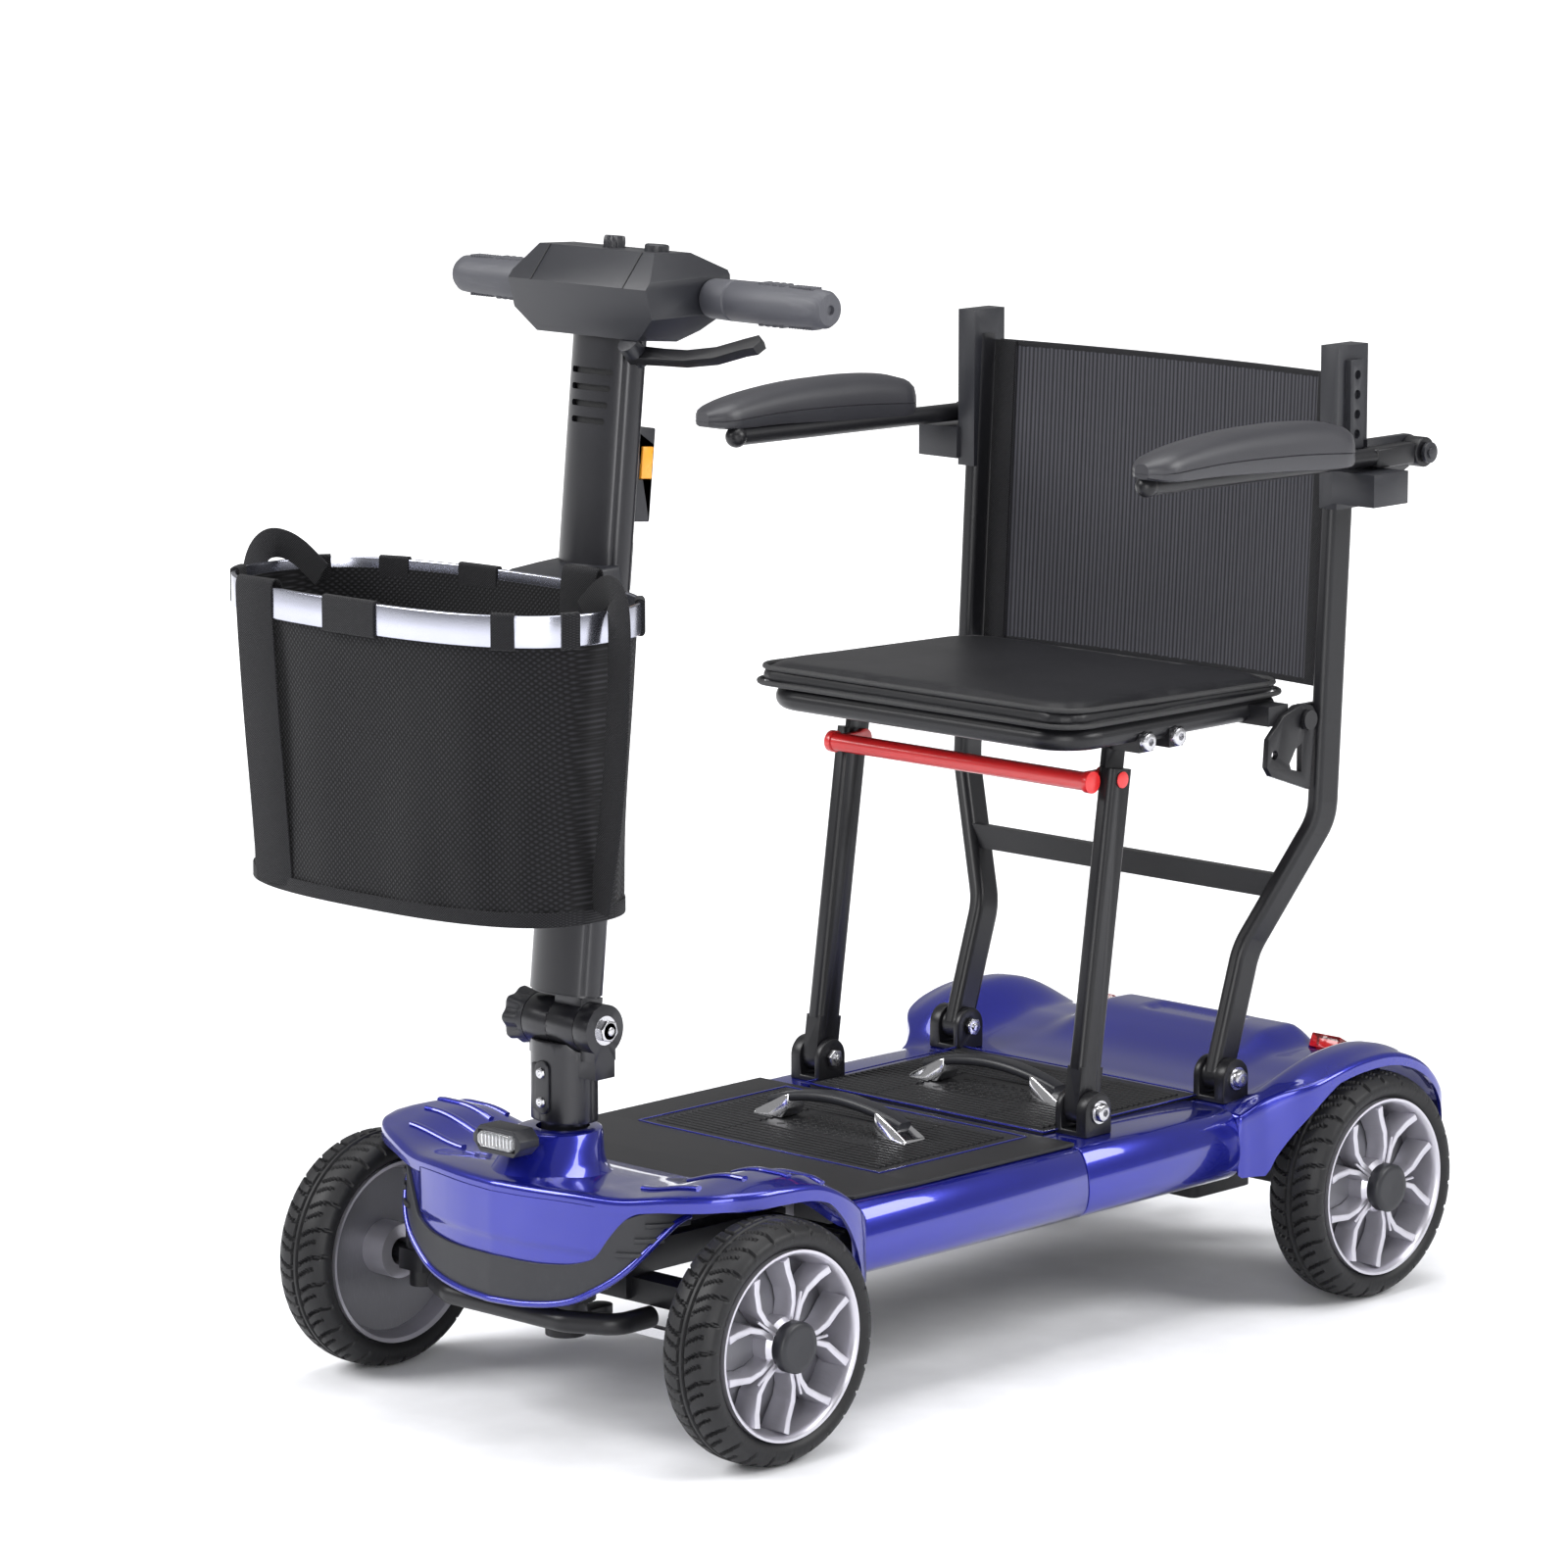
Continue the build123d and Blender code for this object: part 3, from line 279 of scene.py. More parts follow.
def softened(node, name, width=0.8, segments=2, angle=28, dissolve=0.5):
    """A bevelled copy of a CAD node, which stands for it."""
    src = frame["nodes"][node]
    mesh = src.data.copy()
    bm = bmesh.new()
    bm.from_mesh(mesh)
    bmesh.ops.remove_doubles(bm, verts=bm.verts, dist=2e-6)
    bmesh.ops.dissolve_limit(bm, angle_limit=math.radians(dissolve), verts=bm.verts, edges=bm.edges)
    bm.to_mesh(mesh)
    bm.free()
    mesh.materials.clear()
    mesh.name = name
    ob = bpy.data.objects.new(name, mesh)
    bpy.context.scene.collection.objects.link(ob)
    mod = ob.modifiers.new("bevel", "BEVEL")
    mod.width = width / 1000
    mod.segments = segments
    mod.limit_method = "ANGLE"
    mod.angle_limit = math.radians(angle)
    mod.use_clamp_overlap = True
    baked(ob, 32)
    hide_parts(node)
    return ob


def height_shell(name, outline, top, drop, cell=5.0, lip=5.0, wall=3.0, crease=40):
    """A moulded skin over a plan outline: top(x, y) is its height and drop(x, y) its wall's lower edge."""
    loop = resample([(x, y, 0) for x, y in outline], cell, closed=True)
    pts = [(p.x, p.y) for p in loop]
    n = len(pts)
    arr = np.array(pts)
    area = 0.5 * np.sum(arr[:, 0] * np.roll(arr[:, 1], -1) - np.roll(arr[:, 0], -1) * arr[:, 1])
    if area < 0:
        arr = arr[::-1].copy()
    tangent = np.roll(arr, -1, 0) - np.roll(arr, 1, 0)
    tangent /= np.linalg.norm(tangent, axis=1)[:, None]
    outward = np.stack([tangent[:, 1], -tangent[:, 0]], 1)
    inner = arr - outward * lip
    xs = np.arange(arr[:, 0].min(), arr[:, 0].max(), cell)
    ys = np.arange(arr[:, 1].min(), arr[:, 1].max(), cell)
    gx, gy = (g.ravel() for g in np.meshgrid(xs, ys))
    a, b = inner, np.roll(inner, -1, 0)
    inside = np.zeros(len(gx), bool)
    nearest = np.full(len(gx), 1e9)
    for (x0, y0), (x1, y1) in zip(a, b):
        cross = (y0 > gy) != (y1 > gy)
        with np.errstate(divide="ignore", invalid="ignore"):
            inside ^= cross & (gx < (x1 - x0) * (gy - y0) / (y1 - y0) + x0)
        nearest = np.minimum(nearest, np.hypot(gx - x0, gy - y0))
    keep = inside & (nearest > cell * 0.62)
    flat = [Vector(p) for p in inner] + [Vector((x, y)) for x, y in zip(gx[keep], gy[keep])]
    edges = [(i, (i + 1) % n) for i in range(n)]
    vs, _, fs, came_from, *_ = geometry.delaunay_2d_cdt(flat, edges, [], 1, 1e-6)
    vx, vy = np.array([v.x for v in vs]), np.array([v.y for v in vs])
    verts = [at(x, y, z) for x, y, z in zip(vx, vy, top(vx, vy))]
    faces = [tuple(f) for f in fs]
    lookup = {source: i for i, sources in enumerate(came_from) for source in sources}
    ring = [lookup[i] for i in range(n)]
    rows = [ring]
    z_in = top(inner[:, 0], inner[:, 1])
    for turn in (30, 60, 90):
        s, c = math.sin(math.radians(turn)), math.cos(math.radians(turn))
        row = []
        for (x, y), (ox, oy), z in zip(inner, outward, z_in):
            row.append(len(verts))
            verts.append(at(x + ox * lip * s, y + oy * lip * s, z - lip * (1 - c)))
        rows.append(row)
    low = drop(arr[:, 0], arr[:, 1])
    for part in (0.35, 0.7, 1.0):
        row = []
        for (x, y), z, z1 in zip(arr, z_in - lip, low):
            row.append(len(verts))
            verts.append(at(x, y, z + (min(z1, z - 1) - z) * part))
        rows.append(row)
    for r0, r1 in zip(rows, rows[1:]):
        faces += [(r0[j], r0[(j + 1) % n], r1[(j + 1) % n], r1[j]) for j in range(n)]
    ob = piece(name, verts, faces, crease)
    return thickened(ob, wall, crease)


def wall_grid(name, path, rows, outward=0.0, wall=3.0, bulge=None, crease=40):
    """A standing wall along a plan path: rows(k, count) gives each station's heights from top to foot."""
    pts = [Vector((p[0], p[1], 0)) for p in path]
    verts, count, tall = [], len(pts), 0
    for i, p in enumerate(pts):
        t = (pts[min(i + 1, count - 1)] - pts[max(i - 1, 0)]).normalized()
        out = Vector((-t.y, t.x, 0))
        if out.dot(Vector((p.x, p.y + 300, 0))) < 0:
            out.negate()
        heights = rows(p.x, p.y)
        tall = len(heights)
        for z in heights:
            push = outward + (bulge(p.x, p.y, z) if bulge else 0.0)
            verts.append(at(p.x + out.x * push, p.y + out.y * push, z))
    faces = [(i * tall + j, (i + 1) * tall + j, (i + 1) * tall + j + 1, i * tall + j + 1)
             for i in range(count - 1) for j in range(tall - 1)]
    mesh = bpy.data.meshes.new(name)
    mesh.from_pydata([tuple(v) for v in verts], [], faces)
    ob = wrap(name, mesh, crease)
    centre = at(0, -300, 150)
    flip = sum((f.center - centre).dot(f.normal) for f in ob.data.polygons) < 0
    if flip:
        ob.data.flip_normals()
    return thickened(ob, wall, crease)


def flat_plate(name, loops, low, high, bevel=0.8):
    """A flat plate with rounded edges: the first loop is its outline, and the others are holes."""
    data = bpy.data.curves.new(name, "CURVE")
    data.dimensions = "2D"
    data.fill_mode = "BOTH"
    data.extrude = max((high - low) / 2000 - bevel / 1000, 1e-5)
    data.bevel_depth = bevel / 1000
    data.bevel_resolution = 2
    data.offset = -bevel / 1000
    for pts in loops:
        spline = data.splines.new("POLY")
        spline.points.add(len(pts) - 1)
        for point, (x, y) in zip(spline.points, pts):
            point.co = (x / 1000, y / 1000 + middle, 0, 1)
        spline.use_cyclic_u = True
    ob = bpy.data.objects.new(name, data)
    bpy.context.scene.collection.objects.link(ob)
    bpy.context.view_layer.update()
    mesh = bpy.data.meshes.new_from_object(ob.evaluated_get(bpy.context.evaluated_depsgraph_get()))
    mesh.transform(Matrix.Translation((0, 0, (low + high) / 2000)))
    bpy.data.objects.remove(ob)
    return wrap(name, mesh, 40)


# ---------------------------------------------------------------- repeats with geometry nodes
def wired(tree, kind, given=None, **settings):
    """A node with its settings made and its inputs filled, each by a value or by another node's output."""
    node = tree.nodes.new(kind)
    for label, value in settings.items():
        setattr(node, label, value)
    for label, value in (given or {}).items():
        if isinstance(value, bpy.types.NodeSocket):
            tree.links.new(value, node.inputs[label])
        else:
            node.inputs[label].default_value = value
    return node


def maths(tree, operation, a, b=0.0):
    return wired(tree, "ShaderNodeMath", {0: a, 1: b}, operation=operation).outputs[0]


def copies_tree(name, turned):
    """A node tree that repeats an object in rows, or turned round an axis along X."""
    tree = bpy.data.node_groups.new(name, "GeometryNodeTree")
    for way in ("INPUT", "OUTPUT"):
        tree.interface.new_socket(name="Geometry", in_out=way, socket_type="NodeSocketGeometry")
    kinds = {"Shape": "Object", "Finish": "Material", "Centre": "Vector", "Count": "Int"}
    if not turned:
        kinds.update({"Rows": "Int", "Step": "Vector", "Row Step": "Vector"})
    for label, kind in kinds.items():
        tree.interface.new_socket(name=label, in_out="INPUT", socket_type="NodeSocket" + kind)
    given = tree.nodes.new("NodeGroupInput").outputs
    index = tree.nodes.new("GeometryNodeInputIndex").outputs[0]
    count, spin, place = given["Count"], (0, 0, 0), given["Centre"]
    if turned:
        angle = maths(tree, "MULTIPLY", index, maths(tree, "DIVIDE", 2 * math.pi, count))
        spin = wired(tree, "ShaderNodeCombineXYZ", {"X": angle}).outputs[0]
    else:
        along = maths(tree, "MODULO", index, count)
        row = maths(tree, "FLOOR", maths(tree, "DIVIDE", index, count))
        for number, vector in ((along, "Step"), (row, "Row Step")):
            shift = wired(tree, "ShaderNodeVectorMath", {0: given[vector], "Scale": number},
                          operation="SCALE")
            place = wired(tree, "ShaderNodeVectorMath", {0: place, 1: shift.outputs[0]}).outputs[0]
        count = maths(tree, "MULTIPLY", count, given["Rows"])
    line = wired(tree, "GeometryNodeMeshLine", {"Count": count, "Offset": (0, 0, 0)})
    points = wired(tree, "GeometryNodeSetPosition", {0: line.outputs[0], "Offset": place})
    shape = wired(tree, "GeometryNodeObjectInfo", {"Object": given["Shape"]})
    copy = wired(tree, "GeometryNodeInstanceOnPoints",
                 {"Points": points.outputs[0], "Instance": shape.outputs["Geometry"], "Rotation": spin})
    real = wired(tree, "GeometryNodeRealizeInstances", {0: copy.outputs[0]})
    paint = wired(tree, "GeometryNodeSetMaterial", {0: real.outputs[0], "Material": given["Finish"]})
    tree.links.new(paint.outputs[0], tree.nodes.new("NodeGroupOutput").inputs[0])
    return tree


def copies(name, shape, material, centre, count, rows=1, step=(0, 0, 0), row_step=(0, 0, 0), turned=False):
    """The shape repeated by a node tree and made plain mesh; the shape itself is used up."""
    label = "turned copies" if turned else "rows of copies"
    tree = bpy.data.node_groups.get(label) or copies_tree(label, turned)
    ob = bpy.data.objects.new(name, bpy.data.meshes.new(name))
    bpy.context.scene.collection.objects.link(ob)
    mod = ob.modifiers.new("copies", "NODES")
    mod.node_group = tree
    values = {"Shape": shape, "Finish": material, "Centre": Vector(centre), "Count": count}
    if not turned:
        values.update({"Rows": rows, "Step": Vector(step), "Row Step": Vector(row_step)})
    for item in tree.interface.items_tree:
        if item.item_type == "SOCKET" and item.in_out == "INPUT" and item.name in values:
            mod[item.identifier] = values[item.name]
    baked(ob)
    data = shape.data
    bpy.data.objects.remove(shape)
    bpy.data.meshes.remove(data)
    return ob


# ---------------------------------------------------------------- finishes
def shader_group(name, inputs, outputs, build):
    """The node group of that name, built once: build gives one socket for each output."""
    tree = bpy.data.node_groups.get(name)
    if tree:
        return tree
    tree = bpy.data.node_groups.new(name, "ShaderNodeTree")
    for label, value in inputs.items():
        entry = tree.interface.new_socket(name=label, in_out="INPUT", socket_type="NodeSocketFloat")
        entry.default_value = value
    for label in outputs:
        tree.interface.new_socket(name=label, in_out="OUTPUT", socket_type="NodeSocketFloat")
    given = tree.nodes.new("NodeGroupInput").outputs
    place = tree.nodes.new("ShaderNodeTexCoord").outputs["Object"]
    out = tree.nodes.new("NodeGroupOutput")
    for label, source in zip(outputs, build(tree, given, place)):
        tree.links.new(source, out.inputs[label])
    return tree


def noise(tree, place, scale, detail, roughness=0.5):
    return wired(tree, "ShaderNodeTexNoise", {"Vector": place, "Scale": scale, "Detail": detail,
                                              "Roughness": roughness}).outputs[0]


def grain_build(tree, given, place):
    """A fine height and a broad cloud."""
    return noise(tree, place, given["Scale"], 3), noise(tree, place, 14, 4)


def wear_build(tree, given, place):
    """Patches of scuffing, drawn out into short strokes."""
    patch = noise(tree, place, given["Scale"], 8, 0.7)
    stretch = wired(tree, "ShaderNodeMapping", {"Vector": place, "Scale": (1, 22, 3)})
    both = maths(tree, "MULTIPLY", patch, noise(tree, stretch.outputs[0], 40, 2))
    ramp = wired(tree, "ShaderNodeMapRange", {"Value": both, "From Min": 0.28, "From Max": 0.46})
    return [maths(tree, "MULTIPLY", ramp.outputs[0], given["Amount"])]


def weave_build(tree, given, place):
    """Crossing threads: two diagonal waves and their product."""
    waves = []
    for turn in (45, -45):
        turned = wired(tree, "ShaderNodeMapping", {"Vector": place, "Rotation": (0, math.radians(turn), 0)})
        wave = wired(tree, "ShaderNodeTexWave", {"Vector": turned.outputs[0], "Scale": given["Scale"]},
                     bands_direction="X")
        waves.append(wave.outputs["Fac"])
    return [maths(tree, "MULTIPLY", *waves)]


def grain_node(tree, scale):
    group = shader_group("fine grain", {"Scale": 900.0}, ("Height", "Cloud"), grain_build)
    return wired(tree, "ShaderNodeGroup", {"Scale": scale}, node_tree=group).outputs


def mixed(tree, factor, a, b):
    """A colour between a and b, each of them a colour or a socket."""
    colours = {label: (*value, 1) if isinstance(value, (tuple, list)) else value
               for label, value in (("A", a), ("B", b))}
    return wired(tree, "ShaderNodeMix", {"Factor": factor, **colours}, data_type="RGBA").outputs["Result"]


def principled(name, **values):
    """A new material, its node tree and its Principled node's inputs."""
    mat = bpy.data.materials.new(name)
    mat.use_nodes = True
    inputs = mat.node_tree.nodes["Principled BSDF"].inputs
    for label, value in values.items():
        inputs[label.replace("_", " ")].default_value = value
    return mat, mat.node_tree, inputs


def surfaced(tree, inputs, colour, cloud, low_rough, high_rough, height, depth, distance):
    """Wires colour, clouded roughness and bump into a Principled node."""
    tree.links.new(colour, inputs["Base Color"])
    matte = wired(tree, "ShaderNodeMapRange", {"Value": cloud, "To Min": low_rough, "To Max": high_rough})
    tree.links.new(matte.outputs[0], inputs["Roughness"])
    bump = wired(tree, "ShaderNodeBump", {"Height": height, "Strength": depth, "Distance": distance})
    tree.links.new(bump.outputs[0], inputs["Normal"])


def finish(name, colour, rough, metallic=0.0, coat=0.0, grain=900.0, depth=0.15, worn=0.25, second=None,
           coat_rough=0.06, spread=0.06, specular=0.5):
    """A surface whose colour clouds and scuffs over a fine grain."""
    mat, tree, inputs = principled(name, Metallic=metallic, Coat_Weight=coat, Coat_Roughness=coat_rough,
                                   Specular_IOR_Level=specular)
    fine = grain_node(tree, grain)
    group = shader_group("handling wear", {"Scale": 9.0, "Amount": 0.3}, ("Mask",), wear_build)
    wear = wired(tree, "ShaderNodeGroup", {"Scale": 9.0, "Amount": worn}, node_tree=group)
    tint = mixed(tree, fine["Cloud"], [c * 0.88 for c in colour], [min(1, c * 1.15) for c in colour])
    scuffed = mixed(tree, wear.outputs["Mask"], tint, second or [min(1, c * 1.6 + 0.012) for c in colour])
    surfaced(tree, inputs, scuffed, fine["Cloud"], max(rough - spread, 0.02), rough + spread, fine["Height"],
             depth, 0.0004)
    return mat


def woven(name, dark, light, scale=420.0, depth=0.7, rough=0.85, ribs=None):
    """Cloth with crossing threads, and with ribs along Z when ribs gives their number per metre."""
    mat, tree, inputs = principled(name, Sheen_Weight=0.05, Specular_IOR_Level=0.2)
    group = shader_group("crossing threads", {"Scale": 420.0}, ("Height",), weave_build)
    height = wired(tree, "ShaderNodeGroup", {"Scale": scale}, node_tree=group).outputs["Height"]
    if ribs:
        place = tree.nodes.new("ShaderNodeTexCoord").outputs["Object"]
        waves_per_unit = 1 / 3.1831
        wave = wired(tree, "ShaderNodeTexWave", {"Vector": place, "Scale": ribs * waves_per_unit},
                     bands_direction="X")
        height = wired(tree, "ShaderNodeMath", {0: height, 1: 0.25, 2: wave.outputs["Fac"]},
                       operation="MULTIPLY_ADD").outputs[0]
    surfaced(tree, inputs, mixed(tree, height, dark, light), grain_node(tree, 260)["Cloud"], rough - 0.08,
             rough + 0.08, height, depth, 0.0006)
    return mat


def clear(name, colour, rough=0.06):
    mat = finish(name, colour, rough, grain=500, depth=0.03, worn=0.05, spread=0.02)
    inputs = mat.node_tree.nodes["Principled BSDF"].inputs
    inputs["Transmission Weight"].default_value = 0.85
    inputs["IOR"].default_value = 1.5
    return mat


mats = {}


def make_finishes(p):
    mats.update(
        paint=finish("body paint", p.paint, 0.26, metallic=0.62, coat=1.0, grain=2600, depth=0.03, worn=0.05,
                     spread=0.04, coat_rough=0.05),
        powder=finish("black powder coat", (0.0075, 0.0075, 0.009), 0.36, grain=1500, depth=0.1, worn=0.08,
                      specular=0.32),
        tube=finish("tiller lacquer", (0.010, 0.010, 0.013), 0.32, metallic=0.3, coat=0.2, grain=1800,
                    depth=0.04, worn=0.1, coat_rough=0.2),
        panel=finish("charcoal moulding", (0.02, 0.0205, 0.024), 0.5, grain=1100, depth=0.3, worn=0.15,
                     specular=0.35),
        mat=finish("footboard plastic", (0.013, 0.013, 0.0145), 0.5, grain=1000, depth=0.3, worn=0.35,
                   second=(0.028, 0.027, 0.026), specular=0.28),
        console=finish("console moulding", (0.013, 0.0135, 0.017), 0.38, grain=1300, depth=0.25, worn=0.12,
                       specular=0.38),
        silver=finish("silver alloy", (0.5, 0.49, 0.54), 0.3, metallic=0.75, grain=900, depth=0.1, worn=0.2,
                      second=(0.3, 0.3, 0.31)),
        silver_dark=finish("shaded alloy", (0.16, 0.16, 0.175), 0.45, metallic=0.6, grain=900, depth=0.1),
        tyre=finish("tyre rubber", (0.0085, 0.0085, 0.0095), 0.5, grain=700, depth=0.2, worn=0.3,
                    second=(0.02, 0.0195, 0.019), specular=0.3),
        grip=finish("grip rubber", (0.04, 0.041, 0.05), 0.55, grain=1200, depth=0.35, worn=0.3,
                    second=(0.1, 0.1, 0.11)),
        chrome=finish("chrome trim", (0.72, 0.72, 0.74), 0.1, metallic=1.0, grain=300, depth=0.02, worn=0.15,
                      second=(0.5, 0.5, 0.5), spread=0.05),
        steel=finish("zinc bolts", (0.5, 0.5, 0.52), 0.26, metallic=1.0, grain=1500, depth=0.1, worn=0.2),
        alloy=finish("brushed strip", (0.42, 0.43, 0.5), 0.22, metallic=1.0, grain=600, depth=0.06, worn=0.25,
                     second=(0.4, 0.4, 0.42)),
        cast=finish("dark casting", (0.03, 0.03, 0.032), 0.55, metallic=0.3, grain=600, depth=0.5, worn=0.3),
        red=finish("red powder coat", (0.52, 0.012, 0.014), 0.34, coat=0.3, grain=1500, depth=0.1, worn=0.08),
        leather=finish("leatherette", (0.006, 0.006, 0.0075), 0.42, grain=650, depth=0.45, worn=0.1,
                       specular=0.35),
        piping=finish("piping", (0.012, 0.012, 0.013), 0.6, grain=1600, depth=0.8, worn=0.1),
        pad=finish("moulded pad", (0.02, 0.02, 0.0245), 0.44, grain=1400, depth=0.2, worn=0.15),
        lens=clear("clear lens", (0.9, 0.93, 0.96)),
        lens_red=clear("red lens", (0.45, 0.01, 0.012), 0.12),
        amber=finish("amber switch", (0.75, 0.3, 0.02), 0.3, grain=900, depth=0.1, worn=0.1),
        case=finish("battery case", (0.03, 0.03, 0.033), 0.55, grain=900, depth=0.3, worn=0.2),
        # dark recess is near-black: inside the tiller it is painted shade behind the slots, on the console it
        # is the real dark seam lines
        dark=finish("dark recess", (0.006, 0.006, 0.007), 0.7, grain=900, depth=0.2, worn=0.0),
        basket=woven("basket weave", (0.002, 0.002, 0.0025), (0.017, 0.017, 0.02), scale=95, depth=0.9),
        webbing=woven("webbing", (0.004, 0.004, 0.005), (0.018, 0.018, 0.021), scale=220, depth=0.8),
        sling=woven("sling mesh", (0.009, 0.009, 0.011), (0.045, 0.045, 0.054), scale=300, depth=1.0,
                    ribs=230),
    )


def settle(ob, material, body, slot=None, *nodes):
    """Gives a finished piece its material, body, slot and the CAD nodes it stands for."""
    ob.data.materials.clear()
    ob.data.materials.append(mats[material])
    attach(ob, body)
    if nodes:
        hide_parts(*nodes)
    return ob


def carry_over(node, material):
    """A CAD node that stays, with its own finish and soft shading."""
    mesh = frame["nodes"][node].data
    if not mesh.materials:
        mesh.materials.append(mats[material])
    for i in range(len(mesh.materials)):
        mesh.materials[i] = mats[material]


# ---------------------------------------------------------------- bodywork
nose_plan = [(152, -388), (150, -405), (138, -424), (118, -439), (84, -450), (42, -459), (0, -462)]
nose_lip = curve_through([(0, 110), (40, 112), (78, 119), (95, 127), (127, 151), (146, 179), (154, 196)])
panel_top = curve_through([(0, 148), (60, 149), (90, 154), (103, 161), (112, 175), (124, 191), (134, 197),
                           (154, 200)])
cover_mid = curve_through([(-470, 207), (-455, 210), (-430, 211), (-400, 208), (-345, 203), (-300, 194),
                           (-262, 187), (-235, 184)])
cover_wing = curve_through([(-450, 212), (-425, 214), (-405, 216), (-385, 219), (-350, 223), (-310, 220),
                            (-285, 210), (-265, 197), (-252, 186), (-236, 166)])


def cover_top(x, y):
    w = smooth(np.abs(x), 70, 175)
    z = (1 - w) * cover_mid(y) + w * cover_wing(y)
    return z - 5.0 * smooth(np.abs(x), 196, 222) - 3.0 * np.exp(-((np.abs(x) - 118) / 30) ** 2)


def cover_drop(x, y):
    z = cover_top(x, y)
    reach = 124 ** 2 - (y + 373) ** 2
    arch = 100 + np.sqrt(np.clip(reach, 0, None))
    wing = np.minimum(z - 13, np.where(y > -330, np.maximum(arch, 122), z - 13))
    behind = smooth(y, -250, -241) * smooth(np.abs(x), 120, 140)
    wing = wing * (1 - behind) + 122 * behind
    nose = smooth(-y, 395, 425) * (1 - smooth(np.abs(x), 150, 175))
    rear = (y > -300) & (np.abs(x) < 190)
    return np.where(rear & (y < -236), np.minimum(z - 6, 180), wing * (1 - nose) + (z - 12) * nose)


def mirrored(half):
    """A closed outline from its right half, given from the front middle to the rear middle."""
    return list(half) + [(-x, y) for x, y in reversed(half) if x > 0]


def body_shapes():
    half = rounded([(0, -462), (42, -459), (84, -450), (118, -439), (150, -426), (182, -410), (205, -392),
                    (218, -362), (221, -320), (220, -280), (214, -250), (206, -238), (190, -236), (170, -238),
                    (150, -250), (110, -277), (60, -294), (0, -297)], 2)
    outline = mirrored([(p.x, p.y) for p in half])
    shell = height_shell("cover_skin", outline, cover_top, cover_drop, cell=4.5, lip=5)
    right = [(p.x, p.y) for p in rounded(nose_plan, 2)]
    plan = right + [(-x, y) for x, y in reversed(right) if x > 0]
    plan = [(p.x, p.y) for p in resample([(x, y, 0) for x, y in plan], 3)][::-1]

    def nose_rows(x, y):
        z1 = cover_top(x, y) - 8
        z0 = nose_lip(abs(x))
        return [z1 + (z0 - z1) * k / 30 for k in range(31)]

    def shield(x, y, z):
        inside = (1 - smooth(abs(x), 99, 105)) * smooth(z, 160, 165)
        return 2.2 * float(inside)

    nose = wall_grid("nose", plan, nose_rows, outward=-1.2, bulge=shield)
    collar_rings = []
    for z, sx, sy, cy in ((199, 53, 64, -399), (204, 48, 58, -398), (209, 44, 52, -396), (218, 41, 46, -393),
                          (228, 38.5, 41, -389), (236, 36.5, 38, -386), (240, 35, 36, -385),
                          (241, 33, 34, -384.5), (241, 22, 22, -380), (225, 21, 21, -380)):
        collar_rings.append([at(sx * math.cos(a), cy + sy * math.sin(a), z)
                             for a in np.linspace(0, 2 * math.pi, 64, endpoint=False)])
    collar = loft("collar", collar_rings, capped=False)
    ribs = []
    for side in (1, -1):
        for start, y in ((104, -392), (122, -358), (140, -326), (150, -298)):
            path = [at(side * x, y, float(cover_top(x, y)) + 0.6) for x in np.linspace(start, start + 62, 12)]
            ribs.append(swept(f"rib_{side}_{start}", path, circle(3.4, 10, 0.55)))
    cover = joined("front_cover_skin", [shell, nose, collar] + ribs)
    settle(cover, "paint", "chassis", "body_gloss_blue", "front_cover")

    def panel_rows(x, y):
        z0, z1 = nose_lip(abs(x)) + 4.0, panel_top(abs(x))
        z1 = max(z1, z0 + 1.5)
        return [z1 + (z0 - z1) * k / 8 for k in range(9)]

    panel = wall_grid("panel", plan, panel_rows, outward=1.8, wall=3.2)
    vents = []
    for side in (1, -1):
        for k, z in enumerate((188, 176, 164)):
            x0 = (146, 138, 127)[k]
            spot = [p for p in plan if abs(p[0] - side * x0) < 9]
            path = [at(p[0] * 1.017, p[1] * 1.005 - 0.6, z) for p in spot]
            if len(path) > 2:
                vents.append(swept(f"vent_{side}_{k}", path, rounded_bar(2.4, 4.2, 1)))
    panel = joined("bumper_panel_skin", [bevelled(panel, 0.8)] + vents)
    settle(panel, "panel", "chassis", "panel_charcoal", "bumper_panel")
    edge = [at(x * 1.012, y * 1.004, float(nose_lip(abs(x))) + 1.6) for x, y in plan]
    settle(swept("nose_lip_bead", edge, circle(2.9, 12)), "paint", "chassis", "body_gloss_blue")

    rear_mid = curve_through([(236, 181), (284, 181.5), (330, 189), (380, 197), (430, 195), (455, 185),
                              (476, 164)])
    rear_high = curve_through([(285, 181.5), (330, 190), (372, 205), (395, 212), (430, 213), (448, 204),
                               (464, 184), (476, 166)])
    rear_fender = curve_through([(236, 174), (250, 181), (262, 189), (285, 203), (330, 217), (375, 221),
                                 (425, 211), (458, 189), (478, 163), (490, 143)])

    def rear_top(x, y):
        a = np.abs(x)
        plateau = 1 - smooth(a, 92, 122)
        w = smooth(a, 158, 205)
        z = (1 - plateau) * rear_mid(y) + plateau * rear_high(np.maximum(y, 285))
        z = np.where(y < 285, rear_mid(y), z)
        z = (1 - w) * z + w * rear_fender(y)
        dish = (1 - smooth(a, 44, 54)) * smooth(y, 398, 404) * (1 - smooth(y, 424, 430))
        return z - 4 * dish - 5.0 * smooth(a, 214, 240)

    def rear_drop(x, y):
        z = rear_top(x, y)
        a = np.abs(x)
        arch = 100 + np.sqrt(np.clip(112 ** 2 - (y - 373) ** 2, 0, None))
        side = np.minimum(z - 11, np.where(y < 262, 122, arch))
        back = np.where(y > 440, 142, z - 6)
        w = smooth(a, 178, 200)
        return side * w + back * (1 - w)

